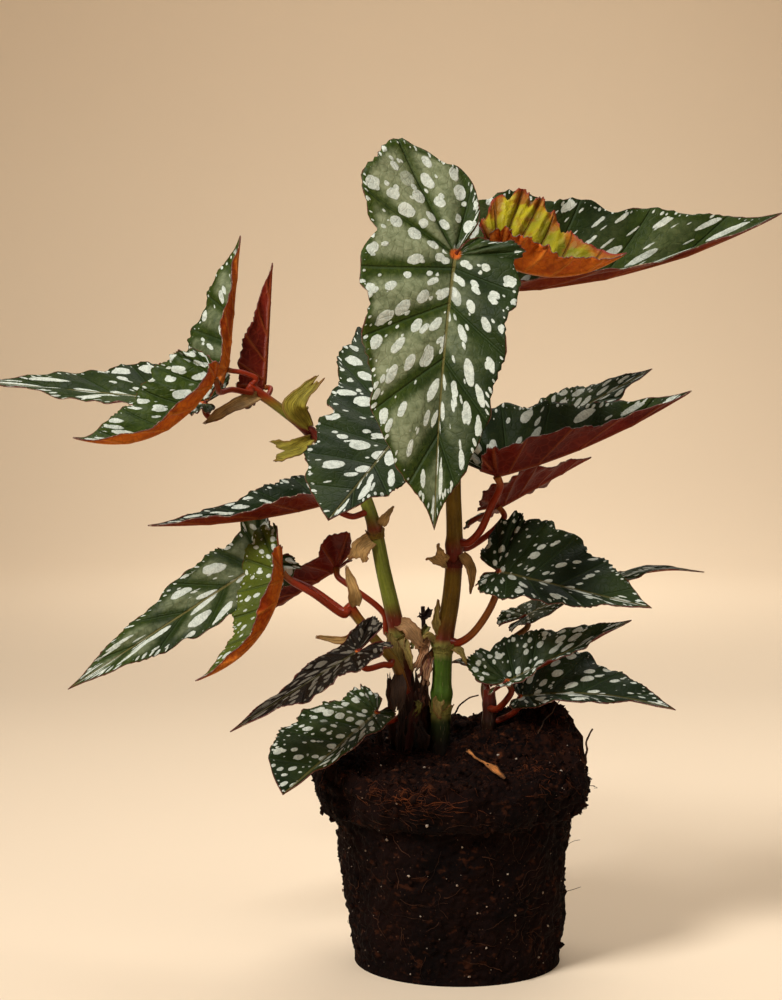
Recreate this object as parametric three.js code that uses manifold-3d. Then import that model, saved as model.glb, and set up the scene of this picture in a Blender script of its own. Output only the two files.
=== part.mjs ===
// Polka dot begonia: spotted wing-shaped leaves on two cane stems, standing in a bare root ball.
// Millimetres, Z up. The origin is the centre of the flat underside of the root ball.
import * as THREE from "three";
import { mergeVertices } from "three/addons/utils/BufferGeometryUtils.js";
import Module from "manifold-3d";

// Root ball: dark peat that has kept the shape of a nursery pot, with its rim band
const BALL_HEIGHT = 87;
const BALL_BASE_RADIUS = 45;
const BALL_NECK_RADIUS = 51.5;
const RIM_RADIUS = 59.5;
const RIM_FOOT = 67;
const BALL_LEAN = -0.035;
const BALL_SIDES = 44;
const BALL_INNER_RADII = [57, 49, 40, 31, 22, 12];
const ROUGH_WAVES = [{ lobes: 5, size: 0.7, turn: 1.7 }, { lobes: 11, size: 0.5, turn: -2.3 }];
const TOP_ROUGHNESS = 0.3;
const SOIL_RISE = 10;
const MOUND = { x: 34, y: 14, reach: 20, height: 13 };
const SHOULDER = { x: -45, y: -2, reach: 14, height: 5 };

// Gaps and thicknesses shared by the plant
const HOLE_GAP = 0.4;
const STALK_GAP = 0.4;
const CANE_FOOT = 80;
const DRILL_LENGTH = 60;
const DRILL_SIDES = 16;
const SEAT_GAP = 0.35;
const SEAT_RUN = 2;
const STALK_RUN = 5;
const BLADE_THICKNESS = 0.8;
const SCALE_THICKNESS = 0.7;
const STALK_SIDES = 6;
const STALK_STEPS = 9;
const SCALE_STEPS = 6;
const SCALE_FACING = [0.15, -1, 0.3];
const SCALE_SEAT = 0.7;
const RING_SWELL = 0.16;
const RING_REACH = 2.6;

// Half outline of a begonia blade, as [width, length]: from the notch round the lobe to the tip
const OUTLINE = [
  [0.0, 0.0], [0.22, -0.8], [0.45, -1.0], [0.72, -0.92], [0.92, -0.55], [1.0, -0.05], [0.98, 0.14],
  [0.86, 0.3], [0.68, 0.46], [0.48, 0.62], [0.28, 0.78], [0.11, 0.91], [0.0, 1.0],
];
const OUTLINE_END = 12;
const LOBE_END = 4.5;
const FULL_END = 9.5;
const FULL_FADE = 2;
const VEIN_STEP = 1.5;
const SCALLOP = 0.035;
const PLEAT = 1;
const PLEAT_REACH = 12;
const PLEAT_FADE = 0.4;
const RIPPLE = 1.2;
const RIPPLE_STEP = 3.1;
const VEIN_LEAN = 0.65;
const TIP_START = 0.6;
const TIP_OPENING = 0.4;
const ROWS = 16;
const COLUMNS = 3;

// Colours of the pieces
const LEAF_GREEN = 0x24402b;
const LEAF_SHEEN = 0x5d6d53;
const LEAF_YOUNG = 0x9a4a1c;
const LEAF_RED = 0x5c1712;
const STALK_RED = 0x7d2618;
const CANE_GREEN = 0x6b7a35;
const STIPULE_OLIVE = 0x8a7a3c;
const STIPULE_PALE = 0xb08a5c;
const DRY_BROWN = 0x5a3a22;
const PEAT = 0x1c120d;

// Leaves. at is the top of the stalk, tip the point of the blade, face the way its upper side looks.
// right and left give each half: width, lobe length, fold, curl and lobe rise, the last three in degrees.
const LEAVES = [
  {
    name: "leaf_front", at: [-3, -58, 305], tip: [-12, -92, 196], face: [0.1, -1, 0.2],
    right: [38, 42, 8, 10, 6], left: [27, 8, 8, 15, -6], full: 0.5, arch: 4, sway: 2, color: LEAF_SHEEN,
    rightLobe: [[-0.2, -0.45], [0.15, -0.97], [0.8, -1.0], [1.15, -0.68], [1.0, -0.12]],
    leftLobe: [[0.2, -0.9], [0.5, -1.05], [0.8, -0.9], [1.0, -0.5], [1.0, -0.05]],
    from: ["cane_right", 274], stalk: [[-1, -24, 281], [-2, -42, 294]], seat: 0.6, thick: [1.7, 1.6],
  },
  {
    name: "leaf_top_right", at: [8, 0, 292], tip: [141, 12, 326], face: [0, -0.3, 0.95],
    right: [13, 14, 30, 10, 0], left: [42, 26, 62, 12, 0], full: 0.8, arch: -9,
    from: ["cane_right", 269], stalk: [[6, -3, 275], [8, 0, 284]], seat: 0.65, thick: [1.7, 1.6],
  },
  {
    name: "leaf_young", at: [16, -22, 304], tip: [69, -30, 307], face: [0, -0.2, 1],
    right: [19, 8, 44, 24, 0], left: [34, 14, 48, 16, 0], full: 0.8, arch: -8, pleat: 2, scallop: 0.07,
    color: LEAF_YOUNG,
    from: ["cane_right", 272], stalk: [[9, -18, 282], [15, -22, 296]], seat: 1.1, thick: [1.4, 1.3],
  },
  {
    name: "leaf_mid_left", at: [-24, -28, 233], tip: [-54, -78, 199], face: [-0.1, -0.75, 0.6],
    right: [41, 51, 5, 0, 0], left: [26, 18, 5, 0, 0], full: 0.9, pleat: 0.6,
    rightLobe: [
      [0.18, -0.5], [0.66, -0.9], [1.1, -1.0], [1.14, -0.7], [1.0, -0.36], [0.86, -0.04], [0.76, 0.16],
      [0.7, 0.34], [0.63, 0.52], [0.5, 0.7], [0.26, 0.87],
    ],
    from: ["cane_right", 228], stalk: [[-10, -12, 226], [-18, -19, 226]], thick: [1.7, 1.5],
  },
  {
    name: "leaf_left_far", at: [-112, 30, 243], tip: [-218, 56, 252], face: [0, -0.4, 0.9],
    right: [24, 7, 20, 0, 0], left: [20, 7, 10, 0, 0],
    from: ["cane_left", 248.5], stalk: [[-97, 6, 243], [-107, 23, 236]], thick: [1.4, 1.3],
  },
  {
    name: "leaf_left_up", at: [-100, 0, 258], tip: [-96, 30, 317], face: [-0.85, -0.45, 0.1],
    right: [9, 10, 45, 0, 0], left: [26, 12, 25, 0, 0], full: 0.65,
    from: ["cane_left", 250], stalk: [[-92.5, 1, 256.5]], thick: [1.2, 1.1], reach: 2,
  },
  {
    name: "leaf_left_down", at: [-103, -26, 255], tip: [-159, -52, 231], face: [-0.2, -0.3, 0.9],
    right: [25, 8, 42, 0, 0], left: [10, 6, 52, 0, 0], full: 0.55, arch: -13,
    rightLobe: [[0.12, -0.5], [0.34, -0.85], [0.56, -0.75], [0.74, -0.35], [0.86, 0.02]],
    from: ["cane_left", 249.5], stalk: [[-97, -12, 249.5], [-101.5, -20, 248.5]], seat: 1.5, thick: [1.3, 1.2],
  },
  {
    name: "leaf_left_red", at: [-85, 16, 250], tip: [-82, 32, 305], face: [-0.95, -0.1, 0.1],
    right: [14, 6, 60, 0, 0], left: [26, 6, 20, 0, 0], color: LEAF_RED,
    from: ["cane_left", 246], stalk: [[-83.5, 9, 246]], thick: [1.2, 1.1], reach: 3,
  },
  {
    name: "leaf_left_pointer", at: [-54, -10, 202], tip: [-130, -40, 194], face: [0, -0.1, 1],
    right: [18, 7, 40, 0, 0], left: [15, 7, 35, 0, 0], arch: -3,
    from: ["cane_left", 197], stalk: [[-46, -8, 195]], seat: 0.6, thick: [1.4, 1.3], reach: 3,
  },
  {
    name: "leaf_left_low", at: [-85, 5, 174], tip: [-167, -20, 122], face: [-0.2, -0.75, 0.6],
    right: [18, 14, 10, 0, 0], left: [19, 12, 5, 0, 0], full: 0.8,
    rightLobe: [[0.2, -0.5], [0.9, -1.0], [1.65, -1.1], [1.45, -0.55], [1.0, 0.03]],
    from: ["shoot_low_left", 154.5], stalk: [[-63, -4, 163]], thick: [1.5, 1.4],
  },
  {
    name: "leaf_left_green", at: [-75, -28, 173], tip: [-109, -60, 132], face: [-0.8, -0.3, 0.4],
    right: [20, 22, 35, 0, 0], left: [10, 10, 50, 0, 0], full: 0.9, arch: -9,
    from: ["shoot_low_left", 156], stalk: [[-62, -25, 163.5]], seat: 1.2, thick: [1.5, 1.4],
  },
  {
    name: "leaf_left_dark", at: [-53, 10, 171], tip: [-97, 30, 142], face: [0, 0.6, 0.75],
    right: [8, 6, 40, 0, 0], left: [13, 14, 0, 0, 0], color: LEAF_RED,
    leftLobe: [[0.1, -0.5], [0.5, -1.0], [1.1, -1.3], [1.4, -0.7], [1.05, -0.05]],
    from: ["cane_left", 143], stalk: [[-32, 6, 151], [-46, 4, 163]], thick: [1.4, 1.3],
  },
  {
    name: "leaf_low_dark", at: [-43, -32, 140], tip: [-94, -72, 113], face: [-0.3, -0.5, 0.8],
    right: [9, 21, 10, 0, 0], left: [14, 12, 10, 0, 0],
    rightLobe: [[0.2, -0.6], [0.8, -1.0], [1.4, -0.95], [1.3, -0.45], [1.05, -0.05]],
    leftLobe: [
      [0.2, -0.6], [0.6, -1.0], [0.9, -0.7], [1.0, -0.3], [1.0, 0.03], [1.0, 0.17], [0.98, 0.32],
      [0.95, 0.45], [0.85, 0.58], [0.5, 0.72], [0.15, 0.88],
    ],
    from: ["shoot_low_left", 133], stalk: [[-32, -16, 132], [-40, -27, 132]], thick: [1.4, 1.3],
  },
  {
    name: "leaf_low_green", at: [-35, -14, 111], tip: [-73, -66, 86], face: [-0.1, -0.6, 0.8],
    right: [22, 10, 20, 0, 0], left: [8, 6, 0, 0, 0],
    rightLobe: [
      [0.12, -0.7], [0.35, -0.95], [0.6, -0.8], [0.65, -0.3], [0.7, 0.05], [0.82, 0.18], [0.93, 0.32],
      [1.0, 0.45], [0.98, 0.6], [0.88, 0.76], [0.5, 0.9],
    ],
    from: ["cane_left", 107], stalk: [[-28, -4, 106], [-33, -10, 106]], thick: [1.4, 1.3],
  },
  {
    name: "leaf_right_mid", at: [16, -14, 213], tip: [101, 2, 249], face: [-0.35, -0.3, 0.9],
    right: [19.5, 8, 56, 0, 0], left: [30, 12, 54, 0, 0], arch: -4,
    from: ["cane_right", 183], stalk: [[9, -6, 188], [14, -12, 200]], seat: 0.65, thick: [1.7, 1.5],
  },
  {
    name: "leaf_right_back", at: [41, 30, 232], tip: [89, 45, 258], face: [-0.3, -0.6, 0.7],
    right: [14, 8, 10, 0, 0], left: [16, 8, 10, 0, 0],
    from: ["cane_right", 217], stalk: [[12, 14, 219], [32, 30, 224]], thick: [1.4, 1.3],
  },
  {
    name: "leaf_right_under", at: [18, 10, 198], tip: [60, 27, 219], face: [-0.4, 0.35, 0.85],
    right: [22, 12, 10, 0, 0], left: [22, 14, 10, 0, 0], color: LEAF_RED,
    from: ["cane_right", 180], stalk: [[8, 6, 182], [17, 7, 189]], thick: [1.4, 1.3],
  },
  {
    name: "leaf_right_face", at: [17, -15, 172], tip: [79, -45, 160], face: [-0.15, -0.6, 0.78],
    right: [15, 6, 5, 0, 0], left: [31, 12, 10, 0, 0], full: 0.8,
    leftLobe: [[0.1, -0.75], [0.35, -1.0], [0.75, -0.9], [0.97, -0.5], [1.0, -0.08]],
    from: ["cane_right", 140], stalk: [[6, -7, 144], [14, -9, 156]], thick: [1.7, 1.5],
  },
  {
    name: "leaf_right_curl", at: [31, 25, 148], tip: [112, 40, 170], face: [-0.2, -0.17, 1],
    right: [10, 10, 0, 0, 0], left: [15, 12, 5, 0, 0], arch: 5, hook: -4,
    shoot: true, stalk: [[14, 5, 108], [13, 24, 118], [24, 27, 136]], seat: 0.65, thick: [1.6, 1.3],
  },
  {
    name: "leaf_right_low", at: [21, -12, 124], tip: [75, -5, 150], face: [-0.4, -0.3, 0.85],
    right: [14, 10, 20, 0, 0], left: [19, 12, 40, 0, 0],
    leftLobe: [[0.1, -0.6], [0.5, -1.0], [0.9, -0.95], [1.0, -0.55], [0.98, -0.1]],
    shoot: true, stalk: [[14, 3, 110], [17, -5, 111], [21, -10, 116]], thick: [1.6, 1.3],
  },
  {
    name: "leaf_right_base", at: [27, -3, 116], tip: [92, -25, 114], face: [-0.1, -0.5, 0.85],
    right: [8, 4, 0, 0, 0], left: [28, 6, 10, 0, 0], arch: 5,
    shoot: true, stalk: [[14, 4, 104], [19, 3, 105], [25, 0, 109]], seat: 0.6, thick: [1.5, 1.2], reach: 3,
  },
  {
    name: "leaf_small_dark", at: [13, 12, 123], tip: [-4, 17, 128], face: [0, -0.2, 1],
    right: [7, 5, 10, 0, 0], left: [7, 5, 10, 0, 0], arch: 3, color: LEAF_RED,
    shoot: true, stalk: [[14, 6, 112], [14, 9, 114], [13.5, 12, 118]], seat: 0.95, thick: [1.3, 1.0],
    reach: 3,
  },
];

// Canes: path, radius at foot and top, heights of the node rings
const CANES = [
  {
    name: "cane_right", hole: true, color: CANE_GREEN, sides: 10, steps: 38, radius: [4.6, 2.4],
    path: [
      [-8, 0, CANE_FOOT], [-8, 0, 94], [-7, 0, 116], [-6, 0, 139], [-3, 0, 158], [-1.5, 0, 182],
      [-2, -1, 206], [-1, -3, 237], [-1, -6, 262], [0, -10, 277],
    ],
    rings: [117, 139, 182, 228, 262],
  },
  {
    name: "cane_left", hole: true, color: CANE_GREEN, sides: 10, steps: 38, radius: [4.2, 1.9],
    path: [
      [-20, 4, CANE_FOOT], [-20, 4, 94], [-22, 4, 118], [-26, 3, 143], [-32, 0, 169], [-37, -2, 193],
      [-46, -2, 214], [-63, 2, 230], [-77, 4, 241], [-91, 2, 251],
    ],
    rings: [143, 189, 231, 249],
  },
  {
    name: "shoot_low_left", hole: false, color: CANE_GREEN, sides: 8, steps: 10, radius: [2.4, 2.1],
    path: [[-22.8, -2.2, 118], [-24, -4, 122], [-27, -7, 131], [-36, -10, 142], [-47.5, -14, 157.5]],
    rings: [156],
  },
  {
    name: "dry_stalk", hole: true, color: DRY_BROWN, sides: 6, steps: 6, radius: [1.3, 0.9],
    path: [[-13, 12, CANE_FOOT], [-13, 12, 100], [-14, 10, 128], [-15, 10, 154]],
    rings: [],
  },
];
const STUMP = {
  name: "basal_shoot", hole: true, color: STALK_RED, sides: 8, steps: 6, radius: [3.4, 2.6], rings: [],
  path: [[14, 4, 86], [14, 4, 118]],
};

// Stipules and a dry leaf: cane and height they grow from, spine, half width, how far the edges cup
const SCALES = [
  {
    name: "stipule_high_upper", from: ["cane_left", 232],
    spine: [[-70, -8, 243], [-59, -9, 255]], half: 5, cup: 2,
  },
  {
    name: "stipule_high_lower", from: ["cane_left", 229],
    spine: [[-71, -7, 224], [-80, -9, 223]], half: 4, cup: 1.6,
  },
  {
    name: "stipule_low_upper", from: ["shoot_low_left", 156],
    spine: [[-45, -18, 164], [-48, -17, 174]], half: 3.5, cup: 1.4,
  },
  {
    name: "stipule_low_under", from: ["shoot_low_left", 147],
    spine: [[-49, -21, 143], [-60, -23, 145]], half: 2.6, cup: 1,
  },
  {
    name: "stipule_right_short", from: ["cane_right", 174],
    spine: [[-8, -5, 176.5], [-11.5, -7, 180]], half: 3, cup: 1.2, seat: 1,
  },
  {
    name: "stipule_right_long", from: ["cane_right", 178],
    spine: [[5.5, -6, 172], [5.5, -6, 162]], half: 2.4, cup: 0.8,
  },
  {
    name: "stipule_left_short", from: ["cane_left", 185],
    spine: [[-42, -6, 181], [-43.5, -6.5, 175.5]], half: 3.2, cup: 1.2, seat: 1.1,
  },
  {
    name: "stipule_left_point", from: ["cane_left", 190],
    spine: [[-31, -6, 195], [-28, -6, 199]], half: 2, cup: 0.7,
  },
  {
    name: "stipule_end_curl", from: ["cane_left", 247.4],
    spine: [[-97, -13, 242], [-108, -15, 236]], half: 1.8, cup: 0.7,
  },
  {
    name: "dry_leaf", from: ["shoot_low_left", 127],
    spine: [[-26, -13, 119], [-27, -17, 111]], half: 3.5, cup: 1.6,
  },
];
// Dry flake lying on the soil
const FLAKE = { name: "dry_flake", spine: [[7, -20], [13, -28], [18, -36]], half: 2.6, cup: -0.8, lift: 2.6 };

const DEGREE = Math.PI / 180;
const add = (a, b, k = 1) => [a[0] + b[0] * k, a[1] + b[1] * k, a[2] + b[2] * k];
const dot = (a, b) => a[0] * b[0] + a[1] * b[1] + a[2] * b[2];
const cross = (a, b) => [a[1] * b[2] - a[2] * b[1], a[2] * b[0] - a[0] * b[2], a[0] * b[1] - a[1] * b[0]];
const unit = (a) => add([0, 0, 0], a, 1 / Math.hypot(...a));
const clamp = (x, low = 0, high = 1) => Math.min(high, Math.max(low, x));
const mix = (a, b, t) => a + (b - a) * t;
const smooth = (x) => x * x * (3 - 2 * x);

// Point at x on a smooth curve through evenly spaced points
function spline(points, x) {
  const last = points.length - 1;
  const i = clamp(Math.floor(x), 0, last - 1);
  const f = x - i;
  const near = [-1, 0, 1, 2].map((k) => points[clamp(i + k, 0, last)]);
  return near[0].map((_, axis) => {
    const [a, b, c, d] = near.map((p) => p[axis]);
    const square = 2 * a - 5 * b + 4 * c - d;
    return 0.5 * (2 * b + (c - a) * f + square * f * f + (3 * b - a - 3 * c + d) * f ** 3);
  });
}

// Directions of a leaf at its stalk: along the blade, out of the upper side, and to the right
function leafFrame(leaf) {
  const chord = add(leaf.tip, leaf.at, -1);
  const length = Math.hypot(...chord);
  const along = unit(chord);
  const up = unit(add(leaf.face, along, -dot(leaf.face, along)));
  return { length, along, up, right: cross(along, up) };
}

// Point of one half of the blade: p runs round the outline, q from the midrib to the margin
function bladePoint(leaf, side, p, q) {
  const { length, up, right } = leafFrame(leaf);
  const [width, lobe, foldAngle, curlAngle, riseAngle] = side > 0 ? leaf.right : leaf.left;
  const own = (side > 0 ? leaf.rightLobe : leaf.leftLobe) ?? [];
  const table = OUTLINE.map((point, i) => own[i - 1] ?? point);
  const outline = spline(table, p);

  const halfway = [0, 1, 2].map((i) => (leaf.at[i] + leaf.tip[i]) / 2);
  const middle = add(add(halfway, up, 2 * (leaf.arch ?? 0)), right, 2 * (leaf.sway ?? 0));
  const taper = clamp((OUTLINE_END - p) / 3) * clamp(p);
  const wave = 1 + (leaf.scallop ?? SCALLOP) * Math.cos(2 * Math.PI * p / VEIN_STEP) * taper;
  const full = mix(leaf.full ?? 1, 1, smooth(clamp((p - FULL_END) / FULL_FADE)));
  const reach = outline[1] > 0 ? clamp(outline[0], 0, 1.1) ** full : outline[0];
  const edgeU = reach * width * wave;
  const edgeV = outline[1] < 0 ? outline[1] * lobe * wave : outline[1] * length;
  const x = clamp((p - LOBE_END) / (OUTLINE_END - LOBE_END));
  const root = length * mix(x, x * x, VEIN_LEAN);
  const u = edgeU * q;
  const v = root + (edgeV - root) * q;

  const t = clamp(v / length);
  const end = clamp((t - TIP_START) / (1 - TIP_START));
  const hook = (leaf.hook ?? 0) * end * end;
  const spine = [0, 1, 2].map((i) => {
    const bend = (1 - t) ** 2 * leaf.at[i] + 2 * t * (1 - t) * middle[i] + t * t * leaf.tip[i];
    return bend + hook * up[i];
  });
  const first = add(middle, leaf.at, -1);
  const second = add(leaf.tip, middle, -1);
  const tangent = unit([0, 1, 2].map((i) => (1 - t) * first[i] + t * second[i]));
  let normal = unit(add(up, tangent, -dot(tangent, up)));
  const sideways = cross(tangent, normal);

  const back = Math.max(0, -v);
  const bendRate = (riseAngle || 0.01) * DEGREE / lobe;
  const angle = bendRate * back;
  const run = Math.sin(angle) / bendRate;
  const lift = (1 - Math.cos(angle)) / bendRate;
  const base = add(add(spine, tangent, -run), normal, lift);
  normal = add(add([0, 0, 0], normal, Math.cos(angle)), tangent, Math.sin(angle));

  const distance = Math.abs(u);
  const fold = foldAngle * DEGREE * (1 - TIP_OPENING * smooth(end));
  const rate = Math.max(curlAngle, 0.01) * DEGREE / width;
  const tilt = fold + rate * distance;
  const out = (Math.sin(tilt) - Math.sin(fold)) / rate;
  const rise = (Math.cos(fold) - Math.cos(tilt)) / rate;
  const pleat = (leaf.pleat ?? PLEAT) * (0.5 - 0.5 * Math.cos(2 * Math.PI * p / VEIN_STEP));
  const ripple = RIPPLE * q * q * Math.sin(2 * Math.PI * p / RIPPLE_STEP);
  const far = clamp(Math.hypot(u, v - root) / PLEAT_REACH);
  const bump = (pleat * (1 - PLEAT_FADE * q) + ripple) * far * taper;
  const outward = add(add([0, 0, 0], normal, Math.cos(tilt)), sideways, -side * Math.sin(tilt));
  return add(add(add(base, sideways, side * out * Math.sign(u)), normal, rise), outward, bump);
}

// Mesh from points and triangles
function meshFrom(name, points, triangles, color) {
  const geometry = new THREE.BufferGeometry();
  geometry.setAttribute("position", new THREE.Float32BufferAttribute(points.flat(), 3));
  geometry.setIndex(triangles.flat());
  geometry.computeVertexNormals();
  const mesh = new THREE.Mesh(geometry, new THREE.MeshStandardMaterial({ color, roughness: 0.6 }));
  mesh.name = name;
  return mesh;
}

// Solid sheet below a surface: the same triangles on both faces, joined along the rim loop
function thicken(name, middle, triangles, rim, thickness, color) {
  const normals = middle.map(() => [0, 0, 0]);
  for (const [a, b, c] of triangles) {
    const area = cross(add(middle[b], middle[a], -1), add(middle[c], middle[a], -1));
    for (const k of [a, b, c]) {
      normals[k] = add(normals[k], area);
    }
  }
  const count = middle.length;
  const lower = middle.map((point, i) => add(point, unit(normals[i]), -thickness));
  const faces = triangles.flatMap(([a, b, c]) => [[a, b, c], [count + a, count + c, count + b]]);
  rim.forEach((a, i) => {
    const b = rim[(i + 1) % rim.length];
    faces.push([a, count + a, count + b], [a, count + b, b]);
  });
  return meshFrom(name, [...middle, ...lower], faces, color);
}

// Leaf blade: two halves that share the midrib and fan out from the top of the stalk
function leafBlade(leaf) {
  const middle = [leaf.at, bladePoint(leaf, 1, OUTLINE_END, 0)];
  const shared = new Map();
  const put = (side, i, j) => {
    const p = i * OUTLINE_END / ROWS;
    if (i === 0 || (j === 0 && p <= LOBE_END)) {
      return 0;
    }
    if (i === ROWS) {
      return 1;
    }
    const key = j === 0 ? `${i}` : `${side},${i},${j}`;
    if (!shared.has(key)) {
      shared.set(key, middle.length);
      middle.push(bladePoint(leaf, side, p, j / COLUMNS));
    }
    return shared.get(key);
  };
  const triangles = [];
  for (const side of [1, -1]) {
    for (let i = 0; i < ROWS; i++) {
      for (let j = 0; j < COLUMNS; j++) {
        const quad = [put(side, i, j), put(side, i, j + 1), put(side, i + 1, j + 1), put(side, i + 1, j)];
        for (const pick of [[0, 1, 2], [0, 2, 3]]) {
          const corner = pick.map((k) => quad[k]);
          if (new Set(corner).size === 3) {
            triangles.push(side > 0 ? corner : corner.reverse());
          }
        }
      }
    }
  }
  const rows = Array.from({ length: ROWS - 1 }, (_, i) => i + 1);
  const rightEdge = rows.map((i) => put(1, i, COLUMNS));
  const leftEdge = rows.map((i) => put(-1, i, COLUMNS)).reverse();
  const rim = [1, ...leftEdge, 0, ...rightEdge];
  return thicken(leaf.name, middle, triangles, rim, BLADE_THICKNESS, leaf.color ?? LEAF_GREEN);
}

// Round stem along a path, closed at both ends
function tube(name, path, radiusAt, sides, steps, color) {
  const curve = curveOf(path);
  const frames = curve.computeFrenetFrames(steps, false);
  const points = [];
  for (let i = 0; i <= steps; i++) {
    const centre = curve.getPointAt(i / steps);
    const radius = radiusAt(i / steps, centre.z);
    for (let k = 0; k < sides; k++) {
      const angle = 2 * Math.PI * k / sides;
      const ring = centre.clone();
      ring.addScaledVector(frames.normals[i], radius * Math.cos(angle));
      ring.addScaledVector(frames.binormals[i], radius * Math.sin(angle));
      points.push(ring.toArray());
    }
  }
  const triangles = [];
  for (let i = 0; i < steps; i++) {
    for (let k = 0; k < sides; k++) {
      const a = i * sides + k;
      const b = i * sides + (k + 1) % sides;
      triangles.push([a, b, b + sides], [a, b + sides, a + sides]);
    }
  }
  const foot = points.push(path[0]) - 1;
  const head = points.push(path[path.length - 1]) - 1;
  for (let k = 0; k < sides; k++) {
    const next = (k + 1) % sides;
    triangles.push([foot, next, k], [head, steps * sides + k, steps * sides + next]);
  }
  return meshFrom(name, points, triangles, color);
}

// Smooth line through the points of a path
const curveOf = (path) => {
  return new THREE.CatmullRomCurve3(path.map((point) => new THREE.Vector3(...point)), false, "centripetal");
};

// Radius of a cane part way along it, swollen at each node ring
function caneRadius({ radius, rings }, t, z) {
  const swell = rings.map((ring) => RING_SWELL * Math.exp(-(((z - ring) / RING_REACH) ** 2)));
  return mix(radius[0], radius[1], t ** 1.2) * swell.reduce((sum, value) => sum + value, 1);
}

// Cane with its node rings
function cane(stem) {
  return tube(stem.name, stem.path, (t, z) => caneRadius(stem, t, z), stem.sides, stem.steps, stem.color);
}

// Place on the skin of a cane at a height, on the side that looks toward a point, and a place further out
function seatOnCane([name, height], toward, clearance) {
  const stem = CANES.find((piece) => piece.name === name);
  const curve = curveOf(stem.path);
  const steps = 400;
  let t = 0;
  while (t < 1 && curve.getPointAt(t).z < height) {
    t += 1 / steps;
  }
  const at = clamp(t);
  const centre = curve.getPointAt(at).toArray();
  const tangent = curve.getTangentAt(at).toArray();
  const way = add(toward, centre, -1);
  const out = unit(add(way, tangent, -dot(way, tangent)));
  const radius = caneRadius(stem, at, centre[2]);
  return [add(centre, out, radius + clearance), add(centre, out, radius + clearance + SEAT_RUN)];
}

// Leaf stalk: from the skin of the cane to just under the blade
function leafStalk(leaf) {
  const { up } = leafFrame(leaf);
  const root = leaf.shoot ? [] : seatOnCane(leaf.from, leaf.stalk[0], SEAT_GAP);
  const below = add(leaf.at, up, -(leaf.reach ?? STALK_RUN));
  const end = add(leaf.at, up, -BLADE_THICKNESS - (leaf.seat ?? STALK_GAP));
  const path = [...root, ...leaf.stalk, below, end];
  const radiusAt = (t) => mix(leaf.thick[0], leaf.thick[1], t);
  return tube(leaf.name.replace("leaf", "stalk"), path, radiusAt, STALK_SIDES, STALK_STEPS, STALK_RED);
}

// Small papery scale: a narrow cupped blade pointed at its end
function scale(name, path, half, cup) {
  const middle = [];
  const triangles = [];
  for (let i = 0; i <= SCALE_STEPS; i++) {
    const t = i / SCALE_STEPS;
    const centre = spline(path, t * 2);
    const ahead = spline(path, Math.min(2, 2 * t + 0.05));
    const behind = spline(path, Math.max(0, 2 * t - 0.05));
    const tangent = unit(add(ahead, behind, -1));
    const outward = unit(add(SCALE_FACING, tangent, -dot(SCALE_FACING, tangent)));
    const across = cross(tangent, outward);
    const width = half * (0.35 + 1.3 * t) * (1 - t ** 3) ** 0.8 + 0.25;
    for (const s of [-1, 0, 1]) {
      middle.push(add(add(centre, across, s * width), outward, cup * s * s * (1 - t)));
    }
  }
  for (let i = 0; i < SCALE_STEPS; i++) {
    for (const k of [0, 1]) {
      const a = 3 * i + k;
      triangles.push([a, a + 4, a + 1], [a, a + 3, a + 4]);
    }
  }
  const rows = Array.from({ length: SCALE_STEPS + 1 }, (_, i) => 3 * i);
  const rim = [1, ...rows, 3 * SCALE_STEPS + 1, ...rows.map((k) => k + 2).reverse()];
  const color = name.startsWith("dry") ? DRY_BROWN : name.includes("high") ? STIPULE_OLIVE : STIPULE_PALE;
  return thicken(name, middle, triangles, rim, SCALE_THICKNESS, color);
}

// Height of the soil above the base at a point
function soilHeight(x, y) {
  const hill = ({ x: cx, y: cy, reach, height }) => {
    return height * Math.exp(-((x - cx) ** 2 + (y - cy) ** 2) / (2 * reach * reach));
  };
  const slope = SOIL_RISE * smooth(clamp((y + 60) / 120));
  const lumps = 0.9 * Math.sin(x / 5.1 + 1) * Math.cos(y / 4.3) + 0.7 * Math.sin((x + y) / 3.4);
  return BALL_HEIGHT + slope + hill(MOUND) + hill(SHOULDER) + lumps;
}

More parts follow.
